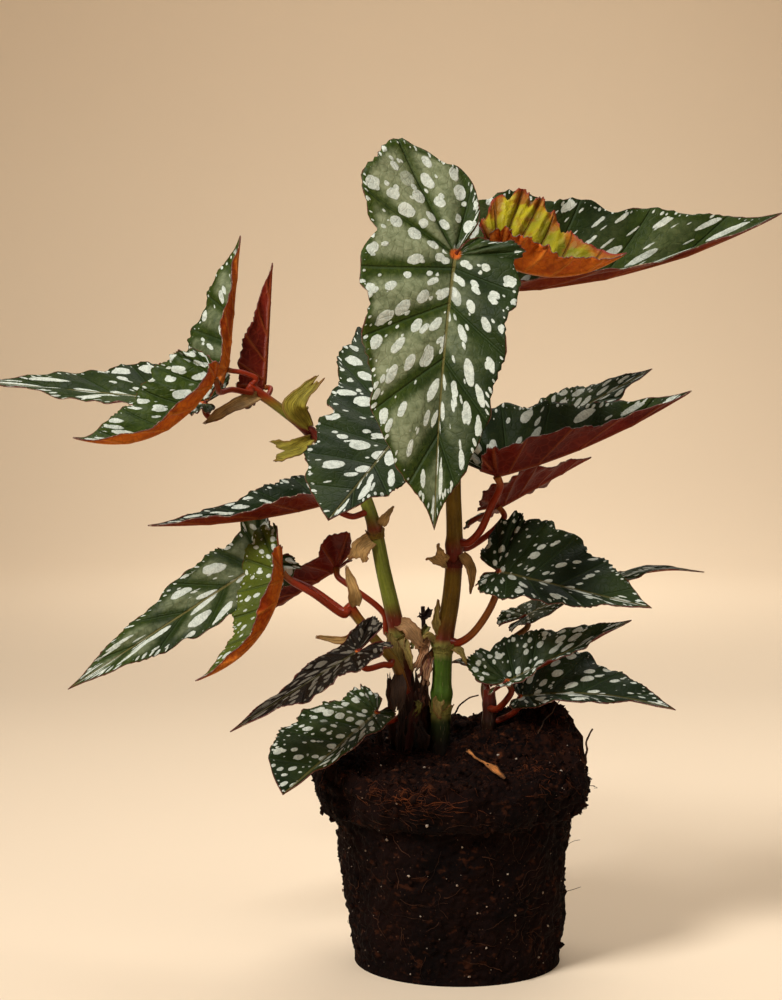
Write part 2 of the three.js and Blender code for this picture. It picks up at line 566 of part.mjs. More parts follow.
// Root ball: turned pot shape with a rim band, uneven sides and a mounded top
function rootBall() {
  const profile = [
    [BALL_BASE_RADIUS, 0], [BALL_BASE_RADIUS + 0.6, 7], [47.2, 22], [49, 38], [50.6, 54],
    [BALL_NECK_RADIUS, RIM_FOOT - 1], [RIM_RADIUS - 2, RIM_FOOT + 1.5], [RIM_RADIUS, RIM_FOOT + 8],
    [RIM_RADIUS, RIM_FOOT + 15],
  ];
  const points = [];
  const rings = profile.length + BALL_INNER_RADII.length;
  for (let i = 0; i < rings; i++) {
    for (let k = 0; k < BALL_SIDES; k++) {
      const angle = 2 * Math.PI * k / BALL_SIDES;
      const onSide = i < profile.length;
      const [radius, side] = onSide ? profile[i] : [BALL_INNER_RADII[i - profile.length], 0];
      const waves = ROUGH_WAVES.map(({ lobes, size, turn }) => size * Math.sin(lobes * angle + turn * i));
      const rough = i === 0 ? 0 : waves.reduce((sum, value) => sum + value);
      const r = radius + rough * (onSide ? 1 : TOP_ROUGHNESS);
      const x = r * Math.cos(angle);
      const y = r * Math.sin(angle);
      const z = onSide ? side : soilHeight(x, y);
      points.push([x + BALL_LEAN * z, y, z]);
    }
  }
  const triangles = [];
  for (let i = 0; i < rings - 1; i++) {
    for (let k = 0; k < BALL_SIDES; k++) {
      const a = i * BALL_SIDES + k;
      const b = i * BALL_SIDES + (k + 1) % BALL_SIDES;
      triangles.push([a, b, b + BALL_SIDES], [a, b + BALL_SIDES, a + BALL_SIDES]);
    }
  }
  const foot = points.push([0, 0, 0]) - 1;
  const topHeight = soilHeight(0, 0);
  const head = points.push([BALL_LEAN * topHeight, 0, topHeight]) - 1;
  for (let k = 0; k < BALL_SIDES; k++) {
    const next = (k + 1) % BALL_SIDES;
    const top = (rings - 1) * BALL_SIDES;
    triangles.push([foot, next, k], [head, top + k, top + next]);
  }
  return meshFrom("root_ball", points, triangles, PEAT);
}

const wasm = await Module();
wasm.setup();

// Solid of a closed shape, for cutting and joining
function solidOf(geometry) {
  const shape = geometry.clone();
  shape.deleteAttribute("normal");
  shape.deleteAttribute("uv");
  const merged = mergeVertices(shape, 1e-4);
  const vertProperties = Float32Array.from(merged.getAttribute("position").array);
  const triVerts = Uint32Array.from(merged.getIndex().array);
  return new wasm.Manifold(new wasm.Mesh({ numProp: 3, vertProperties, triVerts }));
}

// Mesh of a solid, with the look of another mesh
function meshOf(solid, like) {
  const { vertProperties, triVerts } = solid.getMesh();
  const geometry = new THREE.BufferGeometry();
  geometry.setAttribute("position", new THREE.Float32BufferAttribute(vertProperties, 3));
  geometry.setIndex(Array.from(triVerts));
  geometry.computeVertexNormals();
  const mesh = new THREE.Mesh(geometry, like.material);
  mesh.name = like.name;
  return mesh;
}

const part = new THREE.Group();
part.name = "polka_dot_begonia";

const ball = rootBall();
let peat = solidOf(ball.geometry);
for (const { hole, path, radius, sides } of [...CANES, STUMP]) {
  if (hole) {
    const [x, y, foot] = path[0];
    const wall = (radius[0] + HOLE_GAP) / Math.cos(Math.PI / sides);
    const drill = new THREE.CylinderGeometry(wall, wall, DRILL_LENGTH, DRILL_SIDES);
    drill.rotateX(Math.PI / 2);
    drill.translate(x, y, foot - HOLE_GAP + DRILL_LENGTH / 2);
    peat = peat.subtract(solidOf(drill));
  }
}
part.add(meshOf(peat, ball));

const stump = cane(STUMP);
let shoot = solidOf(stump.geometry);
for (const leaf of LEAVES) {
  part.add(leafBlade(leaf));
  if (leaf.shoot) {
    shoot = shoot.add(solidOf(leafStalk(leaf).geometry));
  } else {
    part.add(leafStalk(leaf));
  }
}
part.add(meshOf(shoot, stump));
CANES.forEach((stem) => part.add(cane(stem)));
for (const { name, from, spine, half, cup, seat } of SCALES) {
  const [root] = seatOnCane(from, spine[0], seat ?? SCALE_SEAT);
  part.add(scale(name, [root, ...spine], half, cup));
}
const resting = FLAKE.spine.map(([x, y]) => [x, y, soilHeight(x, y) + FLAKE.lift]);
part.add(scale(FLAKE.name, resting, FLAKE.half, FLAKE.cup));

export default part;
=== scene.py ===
import bpy
import numpy as np
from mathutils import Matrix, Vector


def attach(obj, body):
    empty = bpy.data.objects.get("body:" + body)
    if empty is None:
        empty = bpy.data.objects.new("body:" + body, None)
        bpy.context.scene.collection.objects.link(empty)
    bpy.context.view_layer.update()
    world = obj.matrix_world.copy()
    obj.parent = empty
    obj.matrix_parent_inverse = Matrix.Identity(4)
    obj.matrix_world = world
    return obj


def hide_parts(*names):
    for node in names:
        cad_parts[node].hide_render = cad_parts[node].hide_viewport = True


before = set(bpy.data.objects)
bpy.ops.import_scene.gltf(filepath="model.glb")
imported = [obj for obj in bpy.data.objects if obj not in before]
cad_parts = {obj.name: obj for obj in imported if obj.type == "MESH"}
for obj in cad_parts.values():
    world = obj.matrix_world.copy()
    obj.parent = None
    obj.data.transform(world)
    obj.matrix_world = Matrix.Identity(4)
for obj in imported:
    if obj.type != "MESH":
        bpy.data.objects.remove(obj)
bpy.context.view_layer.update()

# Leaf blades
# 22 wing-shaped blades, each grown from the top of its stalk: two unequal halves that share a midrib,
# quilted between the fan of veins, with silver spots above, wine red below and a thin red margin.

# Sizes are in millimetres, angles in degrees. at is the top of the stalk, tip the point, face the way the
# upper side looks. right and left give each half: width, lobe length, fold, and curl and lobe rise where
# it has them. right_lobe and left_lobe are its own first outline points. full under 1 makes both halves
# broader toward the tip. arch and sway bow the midrib up and sideways, hook lifts the tip. pleat, scallop
# and crumple set the relief. tone is how light the upper side is, or its right and its left side: partly
# the blade's own green and partly painted light. A high tone paints a pale sheen, as on the half of the
# front blade that faces the light, a tone above 1 the yellow-green of light shining through, and a tone
# below 0 paints shade nearly black. shine is how much of that tone shows as painted sheen, glow how much
# light comes through the underside, painted in orange, and spot the size, stretch and files of its
# spots. stem is the cane and the height that the stalk grows from, stalk the points on its way, thick its
# two radii, reach how far below the blade it turns up, ripe how tan it is.
LEAVES = [
    dict(name="leaf_front", at=(-3, -58, 305), tip=(-12, -92, 196), face=(0.1, -1, 0.2), full=0.5,
         right=(38, 42, 8, 10, 6), left=(27, 8, 8, 15, -6), arch=4, sway=2, tone=(0.85, 0.16), glow=0.3,
         spot=(1.0, 0.5, 2),
         right_lobe=[(-0.2, -0.45), (0.15, -0.97), (0.8, -1.0), (1.15, -0.68), (1.0, -0.12)],
         left_lobe=[(0.2, -0.9), (0.5, -1.05), (0.8, -0.9), (1.0, -0.5), (1.0, -0.05)],
         stem=("cane_right", 274), stalk=[(-1, -24, 281), (-2, -42, 294)], thick=(1.7, 1.6)),
    dict(name="leaf_top_right", at=(8, 0, 292), tip=(141, 12, 326), face=(0, -0.3, 0.95), full=0.8,
         right=(13, 14, 30, 10), left=(42, 26, 62, 12), arch=-9, tone=0.4, shine=0.6, glow=0.3,
         spot=(0.85, 2.0, 2),
         stem=("cane_right", 269), stalk=[(6, -3, 275), (8, 0, 284)], thick=(1.7, 1.6)),
    dict(name="leaf_young", at=(16, -22, 304), tip=(69, -30, 307), face=(0, -0.2, 1), full=0.8,
         right=(19, 8, 44, 24), left=(34, 14, 48, 16), arch=-8, pleat=1.7, scallop=0.05, crumple=0.75,
         tone=0.5, glow=1.0, young=True,
         stem=("cane_right", 272), stalk=[(9, -18, 282), (15, -22, 296)], thick=(1.4, 1.3)),
    dict(name="leaf_mid_left", at=(-24, -28, 233), tip=(-54, -78, 199), face=(-0.1, -0.75, 0.6), full=0.9,
         right=(41, 51, 5), left=(26, 18, 5), pleat=0.6, tone=(0.15, 0.05), glow=0.2, spot=(1.0, 1.0, 1),
         right_lobe=[(0.18, -0.5), (0.66, -0.9), (1.1, -1.0), (1.14, -0.7), (1.0, -0.36), (0.86, -0.04),
                     (0.76, 0.16), (0.7, 0.34), (0.63, 0.52), (0.5, 0.7), (0.26, 0.87)],
         stem=("cane_right", 228), stalk=[(-10, -12, 226), (-18, -19, 226)], thick=(1.7, 1.5)),
    dict(name="leaf_left_far", at=(-112, 30, 243), tip=(-218, 56, 252), face=(0, -0.4, 0.9),
         right=(24, 7, 20), left=(20, 7, 10), tone=0.5, shine=0.3, glow=0.2, spot=(1.0, 1.3, 1),
         stem=("cane_left", 248.5), stalk=[(-97, 6, 243), (-107, 23, 236)], thick=(1.4, 1.3)),
    dict(name="leaf_left_up", at=(-100, 0, 258), tip=(-96, 30, 317), face=(-0.85, -0.45, 0.1),
         right=(9, 10, 45), left=(26, 12, 25), full=0.65, tone=0.6, shine=0.8, glow=0.95, spot=(0.75, 0.9, 1),
         stem=("cane_left", 250), stalk=[(-92.5, 1, 256.5)], thick=(1.2, 1.1), reach=2),
    dict(name="leaf_left_down", at=(-103, -26, 255), tip=(-159, -52, 231), face=(-0.2, -0.3, 0.9),
         right=(25, 8, 42), left=(10, 6, 52), full=0.55, arch=-13, tone=0.7, shine=0.15, glow=0.95,
         spot=(0.75, 1.4, 1),
         right_lobe=[(0.12, -0.5), (0.34, -0.85), (0.56, -0.75), (0.74, -0.35), (0.86, 0.02)],
         stem=("cane_left", 249.5), stalk=[(-97, -12, 249.5), (-101.5, -20, 248.5)], thick=(1.3, 1.2)),
    dict(name="leaf_left_red", at=(-85, 16, 250), tip=(-82, 32, 305), face=(-0.95, -0.1, 0.1),
         right=(14, 6, 60), left=(26, 6, 20), tone=0.4, glow=0.2,
         stem=("cane_left", 246), stalk=[(-83.5, 9, 246)], thick=(1.2, 1.1), reach=3),
    dict(name="leaf_left_pointer", at=(-54, -10, 202), tip=(-130, -40, 194), face=(0, -0.1, 1),
         right=(18, 7, 40), left=(15, 7, 35), arch=-3, tone=0.0, glow=0.25,
         stem=("cane_left", 197), stalk=[(-46, -8, 195)], thick=(1.4, 1.3), reach=3),
    dict(name="leaf_left_low", at=(-85, 5, 174), tip=(-167, -20, 122), face=(-0.2, -0.75, 0.6), full=0.8,
         right=(18, 14, 10), left=(19, 12, 5), tone=0.5, shine=1.0, glow=0.3, spot=(1.0, 1.0, 1),
         right_lobe=[(0.2, -0.5), (0.9, -1.0), (1.65, -1.1), (1.45, -0.55), (1.0, 0.03)],
         stem=("shoot_low_left", 154.5), stalk=[(-63, -4, 163)], thick=(1.5, 1.4)),
    dict(name="leaf_left_green", at=(-75, -28, 173), tip=(-109, -60, 132), face=(-0.8, -0.3, 0.4), full=0.9,
         right=(20, 22, 35), left=(10, 10, 50), arch=-9, tone=1.7, shine=0.08, glow=0.8, spot=(0.42, 0.5, 1),
         stem=("shoot_low_left", 156), stalk=[(-62, -25, 163.5)], thick=(1.5, 1.4)),
    dict(name="leaf_left_dark", at=(-53, 10, 171), tip=(-97, 30, 142), face=(0, 0.6, 0.75),
         right=(8, 6, 40), left=(13, 14, 0), tone=0.1, glow=0.1,
         left_lobe=[(0.1, -0.5), (0.5, -1.0), (1.1, -1.3), (1.4, -0.7), (1.05, -0.05)],
         stem=("cane_left", 143), stalk=[(-32, 6, 151), (-46, 4, 163)], thick=(1.4, 1.3)),
    dict(name="leaf_low_dark", at=(-43, -32, 140), tip=(-94, -72, 113), face=(-0.3, -0.5, 0.8),
         right=(9, 21, 10), left=(14, 12, 10), tone=-0.6, glow=0.1, spot=(0.5, 1.2, 2),
         right_lobe=[(0.2, -0.6), (0.8, -1.0), (1.4, -0.95), (1.3, -0.45), (1.05, -0.05)],
         left_lobe=[(0.2, -0.6), (0.6, -1.0), (0.9, -0.7), (1.0, -0.3), (1.0, 0.03), (1.0, 0.17),
                    (0.98, 0.32), (0.95, 0.45), (0.85, 0.58), (0.5, 0.72), (0.15, 0.88)],
         stem=("shoot_low_left", 133), stalk=[(-32, -16, 132), (-40, -27, 132)], thick=(1.4, 1.3)),
    dict(name="leaf_low_green", at=(-35, -14, 111), tip=(-73, -66, 86), face=(-0.1, -0.6, 0.8),
         right=(22, 10, 20), left=(8, 6, 0), tone=0.2, glow=0.15, spot=(0.55, 0.3, 2),
         right_lobe=[(0.12, -0.7), (0.35, -0.95), (0.6, -0.8), (0.65, -0.3), (0.7, 0.05), (0.82, 0.18),
                     (0.93, 0.32), (1.0, 0.45), (0.98, 0.6), (0.88, 0.76), (0.5, 0.9)],
         stem=("cane_left", 107), stalk=[(-28, -4, 106), (-33, -10, 106)], thick=(1.4, 1.3)),
    dict(name="leaf_right_mid", at=(16, -14, 213), tip=(101, 2, 249), face=(-0.35, -0.3, 0.9),
         right=(19.5, 8, 56), left=(30, 12, 54), arch=-4, tone=0.25, shine=0.6, glow=0.12, spot=(1.0, 0.9, 1),
         stem=("cane_right", 183), stalk=[(9, -6, 188), (14, -12, 200)], thick=(1.7, 1.5)),
    dict(name="leaf_right_back", at=(41, 30, 232), tip=(89, 45, 258), face=(-0.3, -0.6, 0.7),
         right=(14, 8, 10), left=(16, 8, 10), tone=0.2, glow=0.15,
         stem=("cane_right", 217), stalk=[(12, 14, 219), (32, 30, 224)], thick=(1.4, 1.3)),
    dict(name="leaf_right_under", at=(18, 10, 198), tip=(60, 27, 219), face=(-0.4, 0.35, 0.85),
         right=(22, 12, 10), left=(22, 14, 10), tone=0.1, glow=0.1,
         stem=("cane_right", 180), stalk=[(8, 6, 182), (17, 7, 189)], thick=(1.4, 1.3)),
    dict(name="leaf_right_face", at=(17, -15, 172), tip=(79, -45, 160), face=(-0.15, -0.6, 0.78), full=0.8,
         right=(15, 6, 5), left=(31, 12, 10), tone=0.05, glow=0.15, spot=(0.55, 0.7, 1), ripe=0.9,
         left_lobe=[(0.1, -0.75), (0.35, -1.0), (0.75, -0.9), (0.97, -0.5), (1.0, -0.08)],
         stem=("cane_right", 140), stalk=[(6, -7, 144), (14, -9, 156)], thick=(1.7, 1.5)),
    dict(name="leaf_right_curl", at=(31, 25, 148), tip=(112, 40, 170), face=(-0.2, -0.17, 1),
         right=(10, 10, 0), left=(15, 12, 5), arch=5, hook=-4, pleat=0.3, scallop=0, tone=0.3, glow=0.4,
         spot=(0.32, 0.3, 2), ripe=1.6,
         stalk=[(14, 5, 108), (13, 24, 118), (24, 27, 136)], thick=(1.6, 1.3)),
    dict(name="leaf_right_low", at=(21, -12, 124), tip=(75, -5, 150), face=(-0.4, -0.3, 0.85),
         right=(14, 10, 20), left=(19, 12, 40), tone=0.25, glow=0.2, spot=(0.6, 0.3, 2),
         left_lobe=[(0.1, -0.6), (0.5, -1.0), (0.9, -0.95), (1.0, -0.55), (0.98, -0.1)],
         stalk=[(14, 3, 110), (17, -5, 111), (21, -10, 116)], thick=(1.6, 1.3)),
    dict(name="leaf_right_base", at=(27, -3, 116), tip=(92, -25, 114), face=(-0.1, -0.5, 0.85),
         right=(8, 4, 0), left=(28, 6, 10), arch=5, tone=0.0, glow=0.1, spot=(0.6, 0.3, 1),
         stalk=[(14, 4, 104), (19, 3, 105), (25, 0, 109)], thick=(1.5, 1.2), reach=3),
    dict(name="leaf_small_dark", at=(13, 12, 123), tip=(-4, 17, 128), face=(0, -0.2, 1),
         right=(7, 5, 10), left=(7, 5, 10), arch=3, tone=-0.2, glow=0.1, spot=(0.35, 0.2, 2),
         stalk=[(14, 6, 112), (14, 9, 114), (13.5, 12, 118)], thick=(1.3, 1.0), reach=3),
]

# Outline of a half blade, from the notch round the lobe to the tip, in shares of its width and of its
# lobe or blade length. LOBE_END and the like count along these points, VEIN_STEP from vein to vein.
OUTLINE = [
    (0.0, 0.0), (0.22, -0.8), (0.45, -1.0), (0.72, -0.92), (0.92, -0.55), (1.0, -0.05), (0.98, 0.14),
    (0.86, 0.3), (0.68, 0.46), (0.48, 0.62), (0.28, 0.78), (0.11, 0.91), (0.0, 1.0),
]
OUTLINE_END = 12
LOBE_END = 4.5
FULL_END, FULL_FADE = 9.5, 2
VEIN_STEP = 1.5
TOOTH_HEIGHT, NOTCH_DEPTH, FRILL_HEIGHT = 0.55, 1.6, 0.7
BLADE_THICKNESS, MIDRIB_HEIGHT, VEIN_HEIGHT = 0.42, 0.9, 0.3

# What is added to the panel number and to the margin's run, so that no two halves share their spots
HALF_PANELS, LEAF_PANELS, HALF_RUN = 20, 40, 400
BEAD_STEP = 3.3
MM = 0.001


def unit(vectors):
    """Vectors divided by their own length."""
    return vectors / np.maximum(np.linalg.norm(vectors, axis=-1, keepdims=True), 1e-12)


def smooth(x):
    """Eased step: 3x² - 2x³ on x held between 0 and 1."""
    x = np.clip(x, 0, 1)
    return x * x * (3 - 2 * x)


def run_along(line):
    """Length along a line at each of its points."""
    return np.concatenate([[0], np.cumsum(np.linalg.norm(np.diff(line, axis=0), axis=1))])


def cells(rows, columns):
    """Row and column of every cell of a grid."""
    return (grid.ravel() for grid in np.meshgrid(np.arange(rows), np.arange(columns), indexing="ij"))


def split(a, b, c, d):
    """Two triangles for every face of four corners."""
    return np.concatenate([np.stack([a, b, c], -1), np.stack([a, c, d], -1)])


def spline(points, x):
    """Catmull-Rom curve through evenly spaced points, at every x at once."""
    points = np.asarray(points, float)
    last = len(points) - 1
    i = np.clip(np.floor(x).astype(int), 0, last - 1)
    f = (x - i)[..., None]
    a, b, c, d = (points[np.clip(i + k, 0, last)] for k in (-1, 0, 1, 2))
    return 0.5 * (2 * b + (c - a) * f + (2 * a - 5 * b + 4 * c - d) * f**2 + (3 * b - a - 3 * c + d) * f**3)


def leaf_axes(leaf):
    """Length of the blade from stalk to tip, and its upward and rightward directions."""
    chord = np.subtract(leaf["tip"], leaf["at"]).astype(float)
    length = np.linalg.norm(chord)
    along = chord / length
    face = np.asarray(leaf["face"], float)
    up = unit(face - face @ along * along)
    return length, up, np.cross(along, up)


def blade_half(leaf, side, p, q):
    """Surface of one half blade. p runs round the outline from notch to tip, q from midrib to margin.
    A flat point is the vein root plus q times the way to the outline; it is carried along a quadratic
    curve from stalk to tip, turned up by the fold and rolled on circular arcs by curl and lobe rise.
    Returns the points, the flat points, the roots and the margin's flat points, in millimetres."""
    length, up, right = leaf_axes(leaf)
    half = "right" if side > 0 else "left"
    width, lobe, fold, curl, rise = (*leaf[half], 0, 0)[:5]
    own = leaf.get(half + "_lobe", [])
    outline = spline([OUTLINE[0], *own, *OUTLINE[1 + len(own):]], p)
    taper = np.clip((OUTLINE_END - p) / 3, 0, 1) * np.clip(p, 0, 1)
    wave = 1 + leaf.get("scallop", 0.035) * np.cos(2 * np.pi * p / VEIN_STEP) * taper
    full = leaf.get("full", 1)
    full = full + (1 - full) * smooth((p - FULL_END) / FULL_FADE)
    reach = np.where(outline[..., 1] > 0, np.clip(outline[..., 0], 0, 1.1) ** full, outline[..., 0])
    edge_u = reach * width * wave
    edge_v = np.where(outline[..., 1] < 0, outline[..., 1] * lobe * wave, outline[..., 1] * length)
    x = np.clip((p - LOBE_END) / (OUTLINE_END - LOBE_END), 0, 1)
    root = length * x**1.8

    # Small teeth along the margin and a notch between each two vein ends
    size = np.hypot(edge_u, edge_v - root)
    small = np.clip(size / 20, 0.1, 1)
    teeth = TOOTH_HEIGHT * small * np.sin(2 * np.pi * p * 2.9 + 7 * np.sin(p * 1.7 + leaf["seed"])) * taper
    gap = np.floor(p / VEIN_STEP)
    between = np.abs(p / VEIN_STEP - gap - 0.5) / 0.16
    depth = min(width / 21, NOTCH_DEPTH) * small * (0.9 + 0.5 * np.sin(2.3 * gap + leaf["seed"]))
    stretch = 1 + (teeth - depth * np.exp(-between**2) * taper) / np.maximum(size, 4) * q**4
    u = edge_u * q * stretch
    v = root + (edge_v - root) * q * stretch

    t = np.clip(v / length, 0, 1)
    end = np.clip((t - 0.6) / 0.4, 0, 1)
    at, tip = np.array(leaf["at"], float), np.array(leaf["tip"], float)
    middle = (at + tip) / 2 + 2 * leaf.get("arch", 0) * up + 2 * leaf.get("sway", 0) * right
    s = t[..., None]
    spine = (1 - s) ** 2 * at + 2 * s * (1 - s) * middle + s * s * tip
    spine = spine + (leaf.get("hook", 0) * end * end)[..., None] * up
    tangent = unit((1 - s) * (middle - at) + s * (tip - middle))
    normal = unit(up - (tangent @ up)[..., None] * tangent)
    sideways = np.cross(tangent, normal)

    bend = np.radians(rise or 0.01) / lobe
    angle = (bend * np.maximum(0, -v))[..., None]
    base = spine - tangent * np.sin(angle) / bend + normal * (1 - np.cos(angle)) / bend
    normal = normal * np.cos(angle) + tangent * np.sin(angle)

    start = np.radians(fold) * (1 - 0.4 * smooth(end))
    rate = np.radians(max(curl, 0.01)) / width
    tilt = start + rate * np.abs(u)
    out = (np.sin(tilt) - np.sin(start)) / rate
    height = (np.cos(start) - np.cos(tilt)) / rate
    pleat = leaf.get("pleat", 1) * (0.5 - 0.5 * np.cos(2 * np.pi * p / VEIN_STEP))
    ripple = 1.2 * q * q * np.sin(2 * np.pi * p / 3.1)
    frill = FRILL_HEIGHT * min(width / 22, 1.2) * small * q**5 * taper
    frill = frill * np.sin(2 * np.pi * p / 0.71 + leaf["seed"] + 1.5 * np.sin(p))
    crumple = leaf.get("crumple", 0) * q * np.sin(2 * np.pi * p / 0.55 + 4 * q) * np.cos(9 * q + 1.3 * p)
    far = np.clip(np.hypot(u, v - root) / 12, 0, 1)
    quilt = 0.9 * np.abs(np.sin(np.pi * p / VEIN_STEP)) * far**2
    quilt = quilt * np.sin(np.pi * np.clip(q * 1.05, 0, 1)) ** 0.7
    bump = (pleat * (1 - 0.4 * q) + ripple + frill + crumple + quilt) * far * taper
    outward = normal * np.cos(tilt)[..., None] - side * sideways * np.sin(tilt)[..., None]
    points = base + sideways * (side * out * np.sign(u))[..., None] + normal * height[..., None]
    points = points + outward * bump[..., None]
    flat = np.stack([u, v], -1)
    return points, flat, np.stack([0 * root, root], -1), np.stack([edge_u, edge_v], -1)


def corner_normals(points, faces):
    """Unit normal at each point: the sum of its triangles' area vectors."""
    a, b, c = (points[faces[:, k]] for k in range(3))
    area = np.cross(b - a, c - a)
    total = np.zeros_like(points)
    for k in range(3):
        np.add.at(total, faces[:, k], area)
    return unit(total)


def piece(name, points, faces, materials, slot, replaced=(), uvs=None, floats=None, face_slots=None, tint=None):
    """Smooth mesh object from points in millimetres and faces. uvs gives named values at every face
    corner, floats one named value or one to a point, tint a colour at every point, and face_slots the
    material of every face. The piece rides on the plant's body."""
    mesh = bpy.data.meshes.new(name)
    mesh.from_pydata((points * MM).tolist(), [], faces.tolist())
    for key, values in (uvs or {}).items():
        layer = mesh.uv_layers.new(name=key)
        layer.data.foreach_set("uv", np.asarray(values, np.float32).ravel())
    for key, values in (floats or {}).items():
        attribute = mesh.attributes.new(key, "FLOAT", "POINT")
        attribute.data.foreach_set("value", np.full(len(points), values, np.float32))
    if tint is not None:
        attribute = mesh.attributes.new("tint", "FLOAT_COLOR", "POINT")
        opaque = np.hstack([tint, np.ones((len(tint), 1))]).astype(np.float32)
        attribute.data.foreach_set("color", opaque.ravel())
    for material in materials:
        mesh.materials.append(material)
    if face_slots is not None:
        mesh.polygons.foreach_set("material_index", np.asarray(face_slots, np.int32))
    mesh.polygons.foreach_set("use_smooth", np.ones(len(mesh.polygons), bool))
    mesh.update()
    made = bpy.data.objects.new(name, mesh)
    bpy.context.collection.objects.link(made)
    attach(made, "root")
    if replaced:
        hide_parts(*replaced)
    return made


class Wire:
    """One socket of a material's node tree. Operators add Math nodes, node() adds any other node."""

    def __init__(self, tree, socket=None):
        self.tree, self.socket = tree, socket

    def node(self, kind, settings=None, inputs=None, out=0):
        """New node of a kind. Its settings are set first, then the values or links of its sockets."""
        made = self.tree.nodes.new("ShaderNode" + kind)
        for key, value in (settings or {}).items():
            setattr(made, key, value)
        for key, value in (inputs or {}).items():
            if isinstance(value, Wire):
                self.tree.links.new(value.socket, made.inputs[key])
            else:
                made.inputs[key].default_value = value
        return Wire(self.tree, made.outputs[out])

    def other(self, out):
        """Another output of the same node."""
        return Wire(self.tree, self.socket.node.outputs[out])

    def math(self, operation, *values):
        """Math node on one or two values."""
        return self.node("Math", {"operation": operation}, dict(enumerate(values)))

    def __add__(self, other): return self.math("ADD", self, other)
    def __radd__(self, other): return self.math("ADD", other, self)
    def __sub__(self, other): return self.math("SUBTRACT", self, other)
    def __rsub__(self, other): return self.math("SUBTRACT", other, self)
    def __mul__(self, other): return self.math("MULTIPLY", self, other)
    def __rmul__(self, other): return self.math("MULTIPLY", other, self)
    def __truediv__(self, other): return self.math("DIVIDE", self, other)
    def __pow__(self, other): return self.math("POWER", self, other)
    def __abs__(self): return self.math("ABSOLUTE", self)

    def floor(self):
        """The whole number at or below."""
        return self.math("FLOOR", self)

    def least(self, other):
        """The smaller of two."""
        return self.math("MINIMUM", self, other)

    def most(self, other):
        """The larger of two."""
        return self.math("MAXIMUM", self, other)

    def step(self, low, high):
        """Eased 0 to 1 between two levels, or 1 to 0 where low is above high."""
        settings = {"interpolation_type": "SMOOTHSTEP"}
        return self.node("MapRange", settings, {0: self, 1: low, 2: high, 3: 0.0, 4: 1.0})

    def vector(self, *numbers):
        """Vector of two or three numbers."""
        return self.node("CombineXYZ", {}, dict(enumerate(numbers)))

    def parts(self, vector):
        """The three numbers of a vector or colour."""
        made = self.node("SeparateXYZ", {}, {0: vector})
        return [made.other(k) for k in range(3)]

    def scaled(self, vector, factor):
        """Vector or colour times a number."""
        return self.node("VectorMath", {"operation": "SCALE"}, {0: vector, 3: factor})

    def color(self, factor, low, high):
        """Colour between two colours."""
        low, high = (value if isinstance(value, Wire) else (*value, 1) for value in (low, high))
        return self.node("Mix", {"data_type": "RGBA"}, {0: factor, 6: low, 7: high}, out=2)

    def value(self, name, out=2):
        """A named value of the mesh, or with out=0 a named colour."""
        return self.node("Attribute", {"attribute_name": name}, {}, out)

    def uv(self, name):
        """The two numbers of a named map of the mesh."""
        return self.parts(self.node("UVMap", {"uv_map": name}))[:2]

    def position(self):
        """Place in the object's own coordinates, in metres."""
        return self.node("TexCoord", {}, {}, 3)

    def noise(self, scale, detail=2.0, place=None):
        """Noise around 0.5 on the object's own coordinates, scale in waves per metre."""
        return self.node("TexNoise", {}, {"Vector": place or self.position(), "Scale": scale, "Detail": detail})

    def net(self, scale):
        """Distance from the lines of a random net, as a share of its mesh."""
        settings = {"feature": "DISTANCE_TO_EDGE"}
        return self.node("TexVoronoi", settings, {"Vector": self.position(), "Scale": scale})


def new_material(name, roughness, specular=0.5):
    """Material with one shader, its tree's wire maker and the shader node."""
    made = bpy.data.materials.new(name)
    made.use_nodes = True
    shader = made.node_tree.nodes["Principled BSDF"]
    shader.inputs["Roughness"].default_value = roughness
    shader.inputs["Specular IOR Level"].default_value = specular
    return made, Wire(made.node_tree), shader


def feed(wire, shader, base, roughness=None, height=None, depth=0.0002):
    """Links the colour, roughness and relief of a shader."""
    for key, value in (("Base Color", base), ("Roughness", roughness)):
        if value is not None:
            wire.tree.links.new(value.socket, shader.inputs[key])
    if height is not None:
        bump = wire.node("Bump", {}, {"Strength": 1.0, "Distance": depth, "Height": height})
        wire.tree.links.new(bump.socket, shader.inputs["Normal"])


def distance(x, y):
    """Square root of x² + y²."""
    return (x * x + y * y) ** 0.5


def spot_layer(wire, panel, along, span, edge, size, stretch, seed, files, step, sizes, chance, ragged):
    """Spots in single file up each panel, or in several files: one to a cell, its place, length and
    radius drawn by the cell, never wider than the file, its rim ragged by noise. Lengths follow the
    leaf's own spot size, and long spots lean toward the leaf's tip."""
    column = panel * files
    file = column.floor()
    slide = wire.node("TexWhiteNoise", {"noise_dimensions": "1D"}, {"W": file + seed})
    length = size * (stretch * 0.35 + 0.85) * step
    row = along / length + slide
    cell = row.floor()
    drawn = wire.node("TexWhiteNoise", {"noise_dimensions": "3D"}, {"Vector": wire.vector(file + seed, cell)})
    pick, side, lot = wire.parts(drawn.other("Color"))
    wide = span / files
    radius = (size * (pick * (sizes[1] - sizes[0]) + sizes[0])).least(wide * 0.37)
    longer = (stretch * (side * 1.3 + 0.3) + 1).least(length * 0.4 / radius.most(0.3))
    across = (column - file - 0.5) * wide - (side - 0.5) * (wide * 0.5 - radius) * 1.5
    down = (row - cell - 0.5) * length - (pick - 0.5) * (length * 0.5 - radius * longer) * 1.7
    lean = stretch.least(1.0) * 0.42
    upright = (1.0 - lean * lean) ** 0.5
    across, down = across * upright - down * lean, down * upright + across * lean
    inside = radius.least(edge * 0.95) - distance(across, down / longer.most(1.0)) + ragged
    room = (wide / size).step(2.4, 4.0)
    return inside.step(-0.1, 0.16) * (lot * 0.999 + 0.001 - (1 - room)).step(1 - chance, 1.01 - chance)


